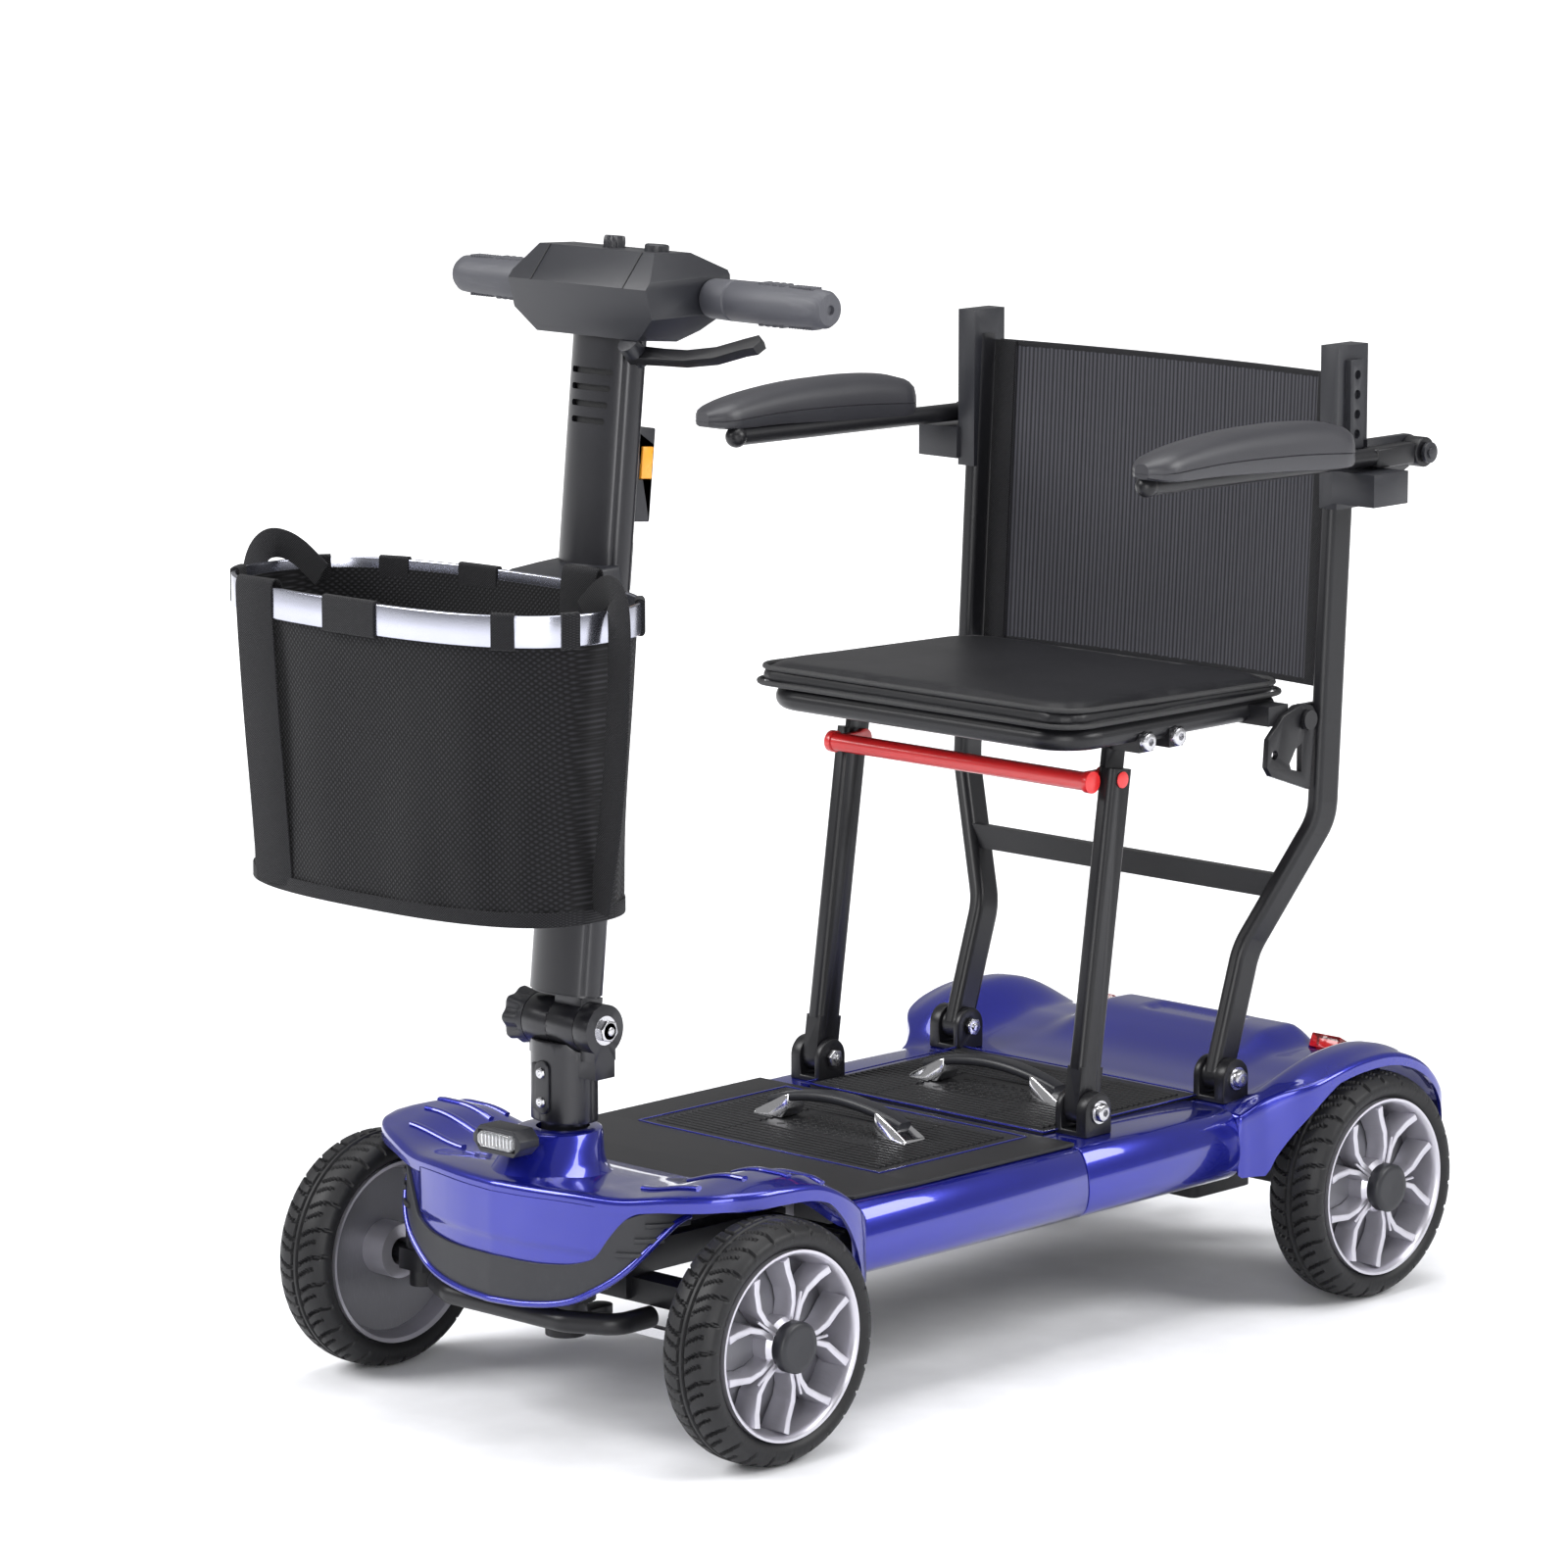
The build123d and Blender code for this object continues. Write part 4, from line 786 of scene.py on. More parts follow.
    half = rounded([(199.5, 238.8), (201, 248), (208, 262), (226, 276), (240, 296), (243, 340), (243, 400),
                    (240, 450), (232, 482), (205, 487), (180, 480), (120, 476), (0, 475)], 2)
    front = [(137, 255), (137, 238.8)]
    right = front + [(p.x, p.y) for p in half]
    outline = right + [(-x, y) for x, y in reversed(right) if x > 0]
    rear = height_shell("rear_skin", outline, rear_top, rear_drop, cell=4.5, lip=4)
    settle(rear, "paint", "chassis", "body_gloss_blue", "rear_body")

    outer = [(p.x, p.z) for p in rounded([(186, 0, 120.5), (196, 0, 126), (200, 0, 142), (198, 0, 162),
                                          (190, 0, 179), (178, 0, 181.3), (137, 0, 181.3)], 3)]
    inner = []
    for i, (x, z) in enumerate(outer):
        a, b = outer[max(i - 1, 0)], outer[min(i + 1, len(outer) - 1)]
        d = Vector((b[0] - a[0], b[1] - a[1])).normalized()
        inner.append((x - d.y * 3, z + d.x * 3) if (x - d.y * 3) < x + 0.01 else (x, z))
    section = outer + inner[::-1]
    parts = []
    for side in (1, -1):
        for y0, y1 in ((-238.5, 41.7), (42.5, 239.5)):
            rings = []
            for y, shrink in ((y0, 1.2), (y0 + 0.5, 0.35), (y0 + 1.3, 0), (y1 - 1.3, 0), (y1 - 0.5, 0.35),
                              (y1, 1.2)):
                rings.append([at(side * (x - shrink * (x > 180)), y, z - shrink * 0.5 * (z > 170))
                              for x, z in section])
            parts.append(loft(f"deck_side_{side}_{int(y0)}", rings))
    parts.append(flat_plate("deck_bridge", [[(138, 26.5), (138, 54), (-138, 54), (-138, 26.5)]], 178, 181.2,
                            0.4))
    settle(joined("deck_skin", parts), "paint", "chassis", "body_gloss_blue", "deck_shell")
    settle(softened("bumper_bar", "bumper_tube", 0.3, 1, 60, 0.1), "powder", "chassis", "frame_black")
    settle(softened("tail_lights", "tail_lamps", 1.2, 3), "lens_red", "chassis", "lens_red")


def lozenge_row(name, centre_y, top):
    shapes = []
    for turn in (38, -38):
        pts = rounded_bar(7.5, 2.2, 1.0, 2)
        c, s = math.cos(math.radians(turn)), math.sin(math.radians(turn))
        ring = lambda z, k: [Vector(((a * c - b * s) * k / 1000, (a * s + b * c) * k / 1000, z / 1000))
                             for a, b in pts]
        shape = loft("lozenge", [ring(0, 1), ring(0.7, 0.75)], True)
        start = Vector((-0.045 + (0.0055 if turn < 0 else 0), 0, 0)) + at(0, centre_y - 24
                                                                          + (5 if turn < 0 else 0), top)
        shapes.append(copies(f"{name}_{turn}", shape, mats["mat"], start, 9, 5,
                             (0.011, 0, 0), (0, 0.010, 0)))
    return joined(name, shapes)


def deck_shapes():
    box = lambda x, y0, y1: [(x, y0), (x, y1), (-x, y1), (-x, y0)]
    edge = rounded([(183, 41), (183, -221), (166, -236), (140, -254), (110, -275), (60, -292), (0, -296)], 1)
    outline = mirrored([(p.x, p.y) for p in reversed(edge)])
    board = flat_plate("footboard_skin", [outline, box(136.5, -150.5, 26.5)], 181, 184.6, 0.9)
    settle(board, "mat", "chassis", "mat_black", "footboard")
    lines = []
    for y0, y1 in ((-153, 29), (51.5, 256.5)):
        frame_line = rounded([(140, y0, 0), (140, y1, 0), (-140, y1, 0), (-140, y0, 0)], 0, True)
        path = [at(p.x, p.y, 184.9) for p in resample(frame_line, 20, True)]
        lines.append(swept(f"inlay_{int(y0)}", path + [path[0]], rounded_bar(1.8, 1.4, 0.5, 2)))
    settle(joined("lid_inlays", lines), "paint", "chassis", "body_gloss_blue")
    for node, name, y0, y1 in (("front_battery_lid", "front_lid", -149.4, 25.4),
                               ("rear_battery_lid", "rear_lid", 54.6, 253.4)):
        plate = flat_plate(name + "_plate", [box(135.2, y0, y1)], 178.5, 184.6, 1.0)
        centre_y = -53 if y0 < 0 else 143
        rows = int((y1 - y0 - 12) / 7.2)
        parts = [plate]
        for side in (1, -1):
            rib = swept("rib", [Vector((side * 0.063, 0, 0)), Vector((side * 0.129, 0, 0))],
                        rounded_bar(3.6, 2.6, 1, 2))
            parts.append(copies(f"{name}_ribs_{side}", rib, mats["mat"], at(0, y0 + 9, 184.8), rows, 1,
                                (0, 0.0072, 0)))
        ends = [r for r in range(rows) if abs(y0 + 9 + 7.2 * r - centre_y) > 30]
        fore = [r for r in ends if y0 + 9 + 7.2 * r < centre_y]
        for group in (fore, ends[len(fore):]):
            if group:
                rib = swept("rib", [Vector((-0.064, 0, 0)), Vector((0.064, 0, 0))],
                            rounded_bar(3.6, 2.6, 1, 2))
                parts.append(copies(f"{name}_mid_{group[0]}", rib, mats["mat"],
                                    at(0, y0 + 9 + 7.2 * group[0], 184.8), len(group), 1, (0, 0.0072, 0)))
        parts.append(lozenge_row(name + "_checker", centre_y, 184.6))
        settle(joined(name + "_skin", parts), "mat", "chassis", "mat_black", node)
    grips, feet = [], []
    for y in (-53, 143):
        arch = [at(x, y, 195.5 + 14 * math.cos(x / 80 * math.pi / 2) ** 0.8)
                for x in np.linspace(-76, 76, 40)]
        scale = [0.82 + 0.18 * math.cos(x / 76 * math.pi / 2) for x in np.linspace(-76, 76, 40)]
        grips.append(swept(f"grip_{y}", arch, rounded_bar(19, 9, 4), scale=scale))
        for side in (1, -1):
            wedge = []
            for x, w, z0, z1 in ((88, 14, 184.8, 187), (86, 14, 184.8, 189), (56, 12, 185.5, 205),
                                 (50, 11, 194, 207)):
                wedge.append([at(side * x, y + a, z)
                              for a, z in ((-w, z0), (w, z0), (w * 0.86, z1), (-w * 0.86, z1))])
            feet.append(bevelled(loft(f"foot_{y}_{side}", wedge), 1.2, 3, 20))
    settle(joined("lid_grips", grips), "console", "chassis", "console_black", "lid_handles")
    settle(joined("grip_feet", feet), "chrome", "chassis", "chrome_trim", "handle_feet")


# ---------------------------------------------------------------- wheels
def tyre_shape(name, centre):
    count, lateral = 420, 48
    outer = []
    for k in range(lateral + 1):
        u = -1 + 2 * k / lateral
        radius = 100 - 8.5 * abs(u) ** 3.2
        outer.append((27.5 * u * (1 - 0.03 * abs(u)), radius))
    sides = [(27.8, 88), (27.2, 84.5), (25.6, 81), (23, 78.4)]
    profile = outer + sides + [(-a, r) for a, r in reversed(sides)]
    angles = np.linspace(0, 2 * math.pi, count, endpoint=False)
    verts = []
    for a in angles:
        turn = a / (2 * math.pi)
        for along, radius in profile:
            u = along / 27.5
            cut = 0.0
            if radius > 90.5:
                bend = turn * 26 + 0.55 * abs(u) + 0.15 * math.sin(3 * u)
                phase = bend % 1.0
                lane = abs(abs(u) - 0.42) < 0.3
                if phase < 0.12 and abs(u) > 0.1:
                    cut = 3.0
                if lane and 0.42 < phase < 0.53:
                    cut = 2.6
                if 0.08 < abs(u) < 0.13:
                    cut = 2.2
            elif radius > 87:
                if (turn * 78) % 1.0 < 0.22:
                    cut = 1.6
            elif radius > 83.8 and radius < 85:
                cut = 0.8
            r = (radius - cut) / 1000
            verts.append(centre + Vector((along / 1000, r * math.cos(a), r * math.sin(a))))
    n = len(profile)
    faces = []
    for i in range(count):
        p, q = i * n, ((i + 1) % count) * n
        faces += [(p + j, p + (j + 1) % n, q + (j + 1) % n, q + j) for j in range(n)]
    return piece(name, verts, faces, 38)


def rim_shapes(corner, centre, side, body):
    ring = lathe(f"rim_ring_{corner}", [(side * 27, 77.6), (side * 26.8, 75.4), (side * 25, 73.6),
                                        (side * 20, 72.6), (side * 8, 70), (side * -12, 69.5),
                                        (side * -24, 74), (side * -25.5, 77.6)], centre, segments=120)
    dish = lathe(f"rim_dish_{corner}", [(side * -6, 71), (side * -2, 60), (side * 4, 30), (side * 6, 18),
                                        (side * 1, 18), (side * -8, 60), (side * -10, 71)], centre,
                 segments=120)
    arms = []
    for fork in (-1, 1):
        rings = []
        for r, spread, w, z0, z1 in ((17, 3.2, 3.2, 5, 23), (34, 4.2, 3.6, 4, 22.5), (46, 8.5, 4.0, 2, 22),
                                     (58, 19, 4.2, 0, 22.5), (71.5, 26.5, 4.6, 0, 25)):
            slope = 0.9 if r > 40 else 0.1
            t = Vector((0, 1, slope * fork)).normalized()
            nrm = Vector((0, -t.z, t.y))
            mid = Vector((0, r if r < 60 else 66, fork * spread))
            lo, hi = side * z0 / 1000, side * z1 / 1000
            c = [mid - nrm * w, mid + nrm * w]
            ring_pts = []
            for base, x in ((c[0], lo), (c[1], lo), (mid + nrm * (w - 1.2), hi), (mid - nrm * (w - 1.2), hi)):
                ring_pts.append(Vector((x, base.y / 1000, base.z / 1000)))
            rings.append(ring_pts)
        arms.append(bevelled(loft(f"arm_{fork}", rings), 0.7, 2, 20))
    ridge = swept("ridge", [Vector((side * 0.0235, 0.018, 0)), Vector((side * 0.0228, 0.044, 0))],
                  rounded_bar(2.4, 2.4, 1, 2), up=(side, 0, 0))
    arm = joined("spoke", arms + [ridge])
    spokes = copies(f"spokes_{corner}", arm, mats["silver"], centre, 5, turned=True)
    hub = lathe(f"rim_hub_{corner}", [(side * 23, 12), (side * 23, 20), (side * 19, 23), (side * -24, 23),
                                      (side * -24, 12)], centre, segments=60)
    settle(joined(f"rim_bright_{corner}", [ring, spokes, hub]), "silver", body, "rim_silver", f"rim_{corner}")
    settle(dish, "silver_dark", body, "rim_silver")
    cap = lathe(f"hub_cap_{corner}", [(side * 22, 0.01), (side * 22, 19.5), (side * 25, 21),
                                      (side * 33.5, 21), (side * 35.5, 19), (side * 35.5, 15),
                                      (side * 34.8, 0.01)], centre, segments=72, crease=50)
    settle(cap, "console", body, "console_black")


def wheel_shapes():
    for corner in ("front_left", "front_right", "rear_left", "rear_right"):
        side = 1 if "left" in corner else -1
        y = front_axle if "front" in corner else rear_axle
        centre = Vector((side * 0.224, y, 0.1))
        body = "wheel_" + corner
        settle(tyre_shape("tread_" + corner, centre), "tyre", body, "tyre_rubber", "tyre_" + corner)
        rim_shapes(corner, centre, side, body)
    for side, label in ((1, "left"), (-1, "right")):
        low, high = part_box("antitip_wheel_" + label)
        centre = (low + high) / 2
        tyre = lathe(f"tip_tyre_{label}", [(-8, 16), (-8, 23), (-6, 25.4), (0, 26), (6, 25.4), (8, 23),
                                           (8, 16)], centre, segments=64)
        hub = lathe(f"tip_hub_{label}", [(-7, 5.1), (-7, 14), (-4, 16.2), (4, 16.2), (7, 14), (7, 5.1)],
                    centre, segments=48)
        settle(tyre, "tyre", "antitip_wheel_" + label, "tyre_rubber", "antitip_wheel_" + label)
        settle(hub, "silver_dark", "antitip_wheel_" + label, "rim_silver")


# ---------------------------------------------------------------- bolts
def socket_bolt(name, place, axis, radius=7.5, height=5.0):
    """A button head with a six-sided socket, standing along an axis."""
    u = Vector(axis).normalized()
    v = u.orthogonal().normalized()
    w = u.cross(v)
    levels = [(0, radius), (height * 0.5, radius), (height * 0.85, radius * 0.86), (height, radius * 0.62),
              (height, radius * 0.42), (height * 0.45, radius * 0.42)]
    rings = []
    for h, r in levels:
        ring = []
        for k in range(36):
            a = 2 * math.pi * k / 36
            q = r
            if r <= radius * 0.43:
                q = r * math.cos(math.pi / 6) / math.cos((a % (math.pi / 3)) - math.pi / 6)
            ring.append(place + u * h / 1000 + (v * math.cos(a) + w * math.sin(a)) * q / 1000)
        rings.append(ring)
    return loft(name, rings, True)


def hex_nut(name, place, axis, radius=7.0, height=6.0):
    u = Vector(axis).normalized()
    v = u.orthogonal().normalized()
    w = u.cross(v)
    ring = lambda h, r: [place + u * h / 1000 + (v * math.cos(k * math.pi / 3)
                                                 + w * math.sin(k * math.pi / 3)) * r / 1000
                         for k in range(6)]
    nut = bevelled(loft(name, [ring(0, radius), ring(height, radius)]), 0.6)
    tip = lathe(name + "_tip", [(height - 1, 0.01), (height - 1, 3.6), (height + 1.6, 3.6), (height + 2, 2.8),
                                (height + 2, 0.01)], place, axis=tuple(u), segments=24)
    return joined(name, [nut, tip])


def bolt_shapes():
    bolts = []
    for side in (1, -1):
        for y in (84.7, 265):
            spot = at(side * 172.2, y, 202)
            bolts.append(lathe(f"washer_{side}_{y}", [(0, 5), (0, 10), (side * 1.6, 10), (side * 1.6, 5)],
                               spot, segments=36))
            bolts.append(socket_bolt(f"head_{side}_{y}", at(side * 173.6, y, 202), (side, 0, 0), 8, 6))
            bolts.append(hex_nut(f"nut_{side}_{y}", at(side * 136.8, y, 202), (-side, 0, 0), 8, 5))
            bolts.append(lathe(f"pin_{side}_{y}", [(side * 135, 0.01), (side * 135, 4.9), (side * 172, 4.9),
                                                   (side * 172, 0.01)], at(0, y, 202), segments=24))
    settle(joined("pivot_hardware", bolts), "steel", "chassis", "bolt_steel", "pivot_bolts")
    pin_y, pin_z = 84.7 + 316 * math.sin(math.radians(8.2)), 202 + 316 * math.cos(math.radians(8.2))
    bolts = []
    for side in (1, -1):
        for k, y in enumerate((pin_y, pin_y + 39)):
            bolts.append(socket_bolt(f"seat_head_{side}_{k}", at(side * 182.2, y, pin_z), (side, 0, 0), 8.5,
                                     5.5))
            inner = 143.6 if k == 0 else 163
            if k == 0:
                bolts.append(hex_nut(f"seat_nut_{side}_{k}", at(side * inner, y, pin_z), (-side, 0, 0), 7.5,
                                     4))
            bolts.append(lathe(f"seat_pin_{side}_{k}", [(side * (inner - 1), 0.01), (side * (inner - 1), 4.9),
                                                        (side * 183, 4.9), (side * 183, 0.01)],
                               at(0, y, pin_z), segments=24))
    settle(joined("seat_hardware", bolts), "steel", "seat", "bolt_steel", "seat_bolts")


# ---------------------------------------------------------------- tiller
def tiller_shapes():
    rings = []
    angles = np.linspace(0, 2 * math.pi, 144, endpoint=False)
    shape = []
    for a in angles:
        x, b = 36 * math.cos(a), 21.5 * math.sin(a)
        groove = 0.0
        for spot in (32, 148, 212, 328, 58, 122):
            gap = abs((math.degrees(a) - spot + 180) % 360 - 180)
            groove += 0.9 * math.exp(-(gap / 3.2) ** 2)
        k = 1 - groove / 30
        shape.append((x * k, b * k))
    for up in np.linspace(26, 556, 12):
        rings.append([on_tiller(x, b, up) for x, b in shape])
    tube = loft("tiller_skin", rings, capped=False)
    tube = thickened(tube, 3)
    cutters = []
    for k in range(4):
        ring = lambda b: [on_tiller(x, b, 488.5 + 13.2 * k + z)
                          for x, z in rounded_bar(46 - 3 * (3 - k), 5, 2.4)]
        cutters.append(loft(f"slot_{k}", [ring(-30), ring(-4)]))
    cutter = joined("slots", cutters)
    mod = tube.modifiers.new("slots", "BOOLEAN")
    mod.object = cutter
    mod.solver = "EXACT"
    baked(tube)
    bpy.data.objects.remove(cutter)
    settle(tube, "tube", "tiller", "tube_black", "tiller_tube")
    # painted shade: a near-black block set inside the hollow tube behind the slots, so the slots look dark
    # with shade
    slot_shade = loft("tiller_core", [[on_tiller(x * 0.87, b * 0.8, up) for x, b in shape[::4]]
                                for up in (470, 545)])
    settle(slot_shade, "dark", "tiller", "tube_black")
    head = softened("head_housing", "console", 2.6, 3, 14)
    settle(head, "console", "tiller", "console_black")
    seam = []
    for x in (-52, 52):
        path = [on_tiller(x * 1.0, b, up) for b, up in ((-42.4, 597), (-22.4, 626.3))]
        seam.append(swept(f"seam_{x}", path, rounded_bar(0.9, 0.7, 0.3, 2)))
    settle(joined("console_seams", seam), "dark", "tiller", "console_black")
    settle(softened("tiller_hinge", "hinge_core", 0.8, 2), "tube", "tiller", "tube_black")
    stub = softened("column_stub", "column_skin", 1.0, 2)
    settle(stub, "tube", "column", "tube_black")
    plate = loft("stub_plate", [[at(x, -378 - 26.4 + d, 276 + z) for x, z in rounded_bar(15, 44, 7, 6)]
                                for d in (0, 4)])
    screws = [socket_bolt(f"stub_screw_{z}", at(0, -404.2, z), (0, -1, 0), 4.6, 2.6) for z in (288, 264)]
    settle(bevelled(plate, 0.8), "tube", "column", "tube_black")
    nut = hex_nut("hinge_nut", at(47, -378, 326), (1, 0, 0), 9.5, 6)
    washer = lathe("hinge_washer", [(0, 5), (0, 12), (1.2, 12), (1.2, 5)], at(46.5, -378, 326), segments=36)
    settle(joined("column_screws", screws + [nut, washer]), "steel", "column", "bolt_steel")
    teeth = []
    for k in range(24):
        a = 2 * math.pi * k / 24
        teeth.append(swept(f"tooth_{k}", [hinge + Vector((-0.0004, 0.0135 * math.cos(a),
                                                          0.0135 * math.sin(a))),
                                          hinge + Vector((-0.0004, 0.0212 * math.cos(a),
                                                          0.0212 * math.sin(a)))],
                           rounded_bar(2.2, 1.6, 0.4, 1)))
    settle(joined("hinge_teeth", teeth), "tube", "tiller", "tube_black")
    profile = [(-28.8, 6), (-28.8, 21), (-33, 21.4), (-36, 20.5), (-46, 22.2), (-49.5, 21), (-50, 18),
               (-50, 0.01), (-30, 0.01)]
    knob_rings = []
    for along, r in profile:
        ring = []
        for k in range(96):
            a = 2 * math.pi * k / 96
            lobe = 1 + (0.07 * math.cos(8 * a) if along < -34 and r > 10 else 0)
            ring.append(hinge + Vector((along / 1000, r * lobe * math.cos(a) / 1000,
                                        r * lobe * math.sin(a) / 1000)))
        knob_rings.append(ring)
    settle(loft("hinge_knob_skin", knob_rings, False, 40), "console", "hinge_knob", "console_black",
           "hinge_knob")
    centre = on_tiller(0, 33, 593)
    parts = []
    for side in (1, -1):
        profile = [(79, 11), (79, 15.2), (82, 16), (104, 16.6), (105.5, 15.6), (107, 16.6), (150, 16.8),
                   (196, 15.6), (204, 15), (208, 12.5), (208.6, 4), (206, 3.6), (206, 0.01), (200, 0.01),
                   (200, 11)]
        grip = lathe(f"grip_{side}", [(side * a, r) for a, r in profile], centre, segments=64)
        parts.append(grip)
        for up in (1, -1):
            pad = swept("pad", [Vector((0, -0.006, 0)), Vector((0, 0.006, 0))], rounded_bar(5.2, 3.2, 1.2, 2))
            pad.data.transform(Matrix.Translation((0, 0, up * 0.0158)))
            parts.append(copies(f"grip_pads_{side}_{up}", pad, mats["grip"],
                                centre + Vector((side * 0.138, 0, 0)), 4, 1, (side * 0.0075, 0, 0)))
            fin = swept("fin", [Vector((0, -0.0055, 0)), Vector((0, 0.0055, 0))],
                        rounded_bar(1.6, 3.2, 0.7, 2))
            fin.data.transform(Matrix.Translation((0, 0, up * 0.0153)))
            parts.append(copies(f"grip_fins_{side}_{up}", fin, mats["grip"],
                                centre + Vector((side * 0.169, 0, 0)), 9, 1, (side * 0.003, 0, 0)))
    settle(joined("grip_sleeves", parts), "grip", "tiller", "grip_rubber", "grips")
    settle(softened("brake_lever", "lever_skin", 2.4, 4, 30), "powder", "brake_lever", "frame_black")
    block = softened("tiller_block", "switch_block", 3.5, 4, 30)
    settle(block, "console", "tiller", "console_black")
    settle(softened("amber_button", "amber_cap", 0.8, 2), "amber", "amber_button", "amber_plastic")
    up = on_tiller(0, 0, 1000) - on_tiller(0, 0, 0)
    dial_rings = []
    base = on_tiller(-4, 2, 623)
    side_v = Vector((1, 0, 0))
    back_v = up.normalized().cross(side_v)
    for h, r in ((0, 0.01), (0, 8.4), (8, 8.6), (12.4, 8.2), (13.6, 7.4), (13.8, 0.01)):
        ring = []
        for k in range(72):
            a = 2 * math.pi * k / 72
            q = r * (1 + (0.045 * math.cos(18 * a) if r > 5 and h > 1 else 0))
            ring.append(base + up.normalized() * h / 1000
                        + (side_v * math.cos(a) + back_v * math.sin(a)) * q / 1000)
        dial_rings.append(ring)
    settle(loft("dial_skin", dial_rings, False, 40), "console", "speed_dial", "console_black", "speed_dial")
    horn = lathe("horn_skin", [(0, 0.01), (0, 9.9), (6.4, 9.9), (7.6, 9), (8, 7.4), (8, 0.01)],
                 on_tiller(44, 2, 625), axis=tuple(up.normalized()), segments=56)
    settle(horn, "console", "horn_button", "console_black", "horn_button")


# ---------------------------------------------------------------- basket
def basket_point(angle, inset, z):
    """A place on the basket's flattened oval."""
    n = 2.6
    c, s = math.cos(angle), math.sin(angle)
    x = (193 - inset) * math.copysign(abs(c) ** (2 / n), c)
    y = (99 - inset) * math.copysign(abs(s) ** (2 / n), s)
    return at(x, -518 + y, z)


def basket_shapes():
    angles = np.linspace(0, 2 * math.pi, 160, endpoint=False)
    rings = []
    for k in range(25):
        t = k / 24
        z = 690 - 235 * t
        sag = 3.5 * math.sin(t * math.pi)
        taper = 3 + 12 * t
        ring = []
        for a in angles:
            fold = 1.2 * math.sin(9 * a + 4 * t) * math.sin(t * math.pi) + 1.0 * math.sin(17 * a + 2.2) * t
            ring.append(basket_point(a, taper + sag * abs(math.sin(a)) + fold, z))
        rings.append(ring)
    for inset, z in ((17, 453.5), (22, 452.5), (60, 454), (96, 455)):
        rings.append([basket_point(a, inset, z) for a in angles])
    bag = loft("basket_bag_skin", rings, capped=False, crease=60)
    bm = bmesh.new()
    bm.from_mesh(bag.data)
    bmesh.ops.holes_fill(bm, edges=[e for e in bm.edges if e.is_boundary and e.verts[0].co.z < 0.5])
    bm.to_mesh(bag.data)
    bm.free()
    thickened(bag, 1.2, 60)
    settle(bag, "basket", "tiller", "basket_mesh", "basket_bag")
    hem = []
    for z, inset, h in ((459, 14.0, 12), (690, 2.2, 8)):
        path = [basket_point(a, inset, z) for a in np.linspace(0, 2 * math.pi, 161)]
        hem.append(swept(f"hem_{z}", path, rounded_bar(1.8, h, 0.8, 2)))
    settle(joined("basket_hem", hem), "webbing", "tiller", "basket_mesh")
    path = [basket_point(a, 1.5, 686) for a in np.linspace(0, 2 * math.pi, 161)]
    rim = swept("basket_rim_skin", path, rounded_bar(4, 25, 1.2, 3))
    settle(rim, "alloy", "tiller", "basket_alloy", "basket_rim")
    tabs = []
    for degrees, width in ((200, 28), (272, 26), (318, 22), (345, 20), (30, 26), (62, 26), (100, 28),
                           (128, 28), (158, 22)):
        a0 = math.radians(degrees)
        span = width / 2 / 150
        path = [basket_point(a, 1.2, 686) for a in np.linspace(a0 - span, a0 + span, 9)]
        tabs.append(swept(f"tab_{degrees}", path, rounded_bar(7.5, 29, 2.6, 4)))
    settle(joined("basket_tabs", tabs), "webbing", "tiller", "basket_mesh")
    straps = []

    def strap(label, route, width, up):
        path = rounded([at(*p) for p in route], 3)
        straps.append(swept(label, path, rounded_bar(width, 1.7, 0.8, 2), up=up))

    p = basket_point(math.radians(243), 0, 686)
    x0, y0 = p.x * 1000, (p.y - middle) * 1000
    strap("strap_front", [(x0, y0 + 10, 650), (x0, y0 + 8, 702), (x0, y0 - 4, 705), (x0, y0 - 5.5, 690),
                          (x0 + 2, y0 - 1, 600), (x0 + 3, y0 + 6, 520), (x0 + 3, y0 + 11, 458)], 42,
          (0, 1, 0))
    p = basket_point(math.radians(75), 0, 686)
    x0, y0 = p.x * 1000, (p.y - middle) * 1000
    strap("strap_back", [(x0, y0 + 5, 640), (x0, y0 + 6, 700), (x0, y0 + 2, 712), (x0, y0 - 6, 704),
                         (x0, y0 - 8, 620), (x0, y0 - 14, 500)], 38, (0, 1, 0))
    for side in (1, -1):
        x = side * 196
        strap(f"loop_{side}", [(side * 150, -500, 690), (side * 178, -506, 712), (x + side * 4, -516, 714),
                               (x + side * 15, -522, 690), (x + side * 14, -524, 620),
                               (x + side * 5, -522, 540), (x - side * 12, -520, 462)], 24, (0, 1, 0))
    settle(joined("basket_straps", straps), "webbing", "tiller", "basket_mesh")
    rings = []
    for y, w, z0, z1 in ((-419, 30, 676, 694), (-404, 34, 674, 697), (-372, 36, 673, 699),
                         (-345, 38, 672, 700)):
        rings.append([at(x, y, z) for x, z in ((-w, z0), (w, z0), (w * 0.94, z1), (-w * 0.94, z1))])
    mount = bevelled(loft("basket_mount", rings), 3, 3, 20)
    settle(mount, "console", "tiller", "console_black", "basket_bracket")


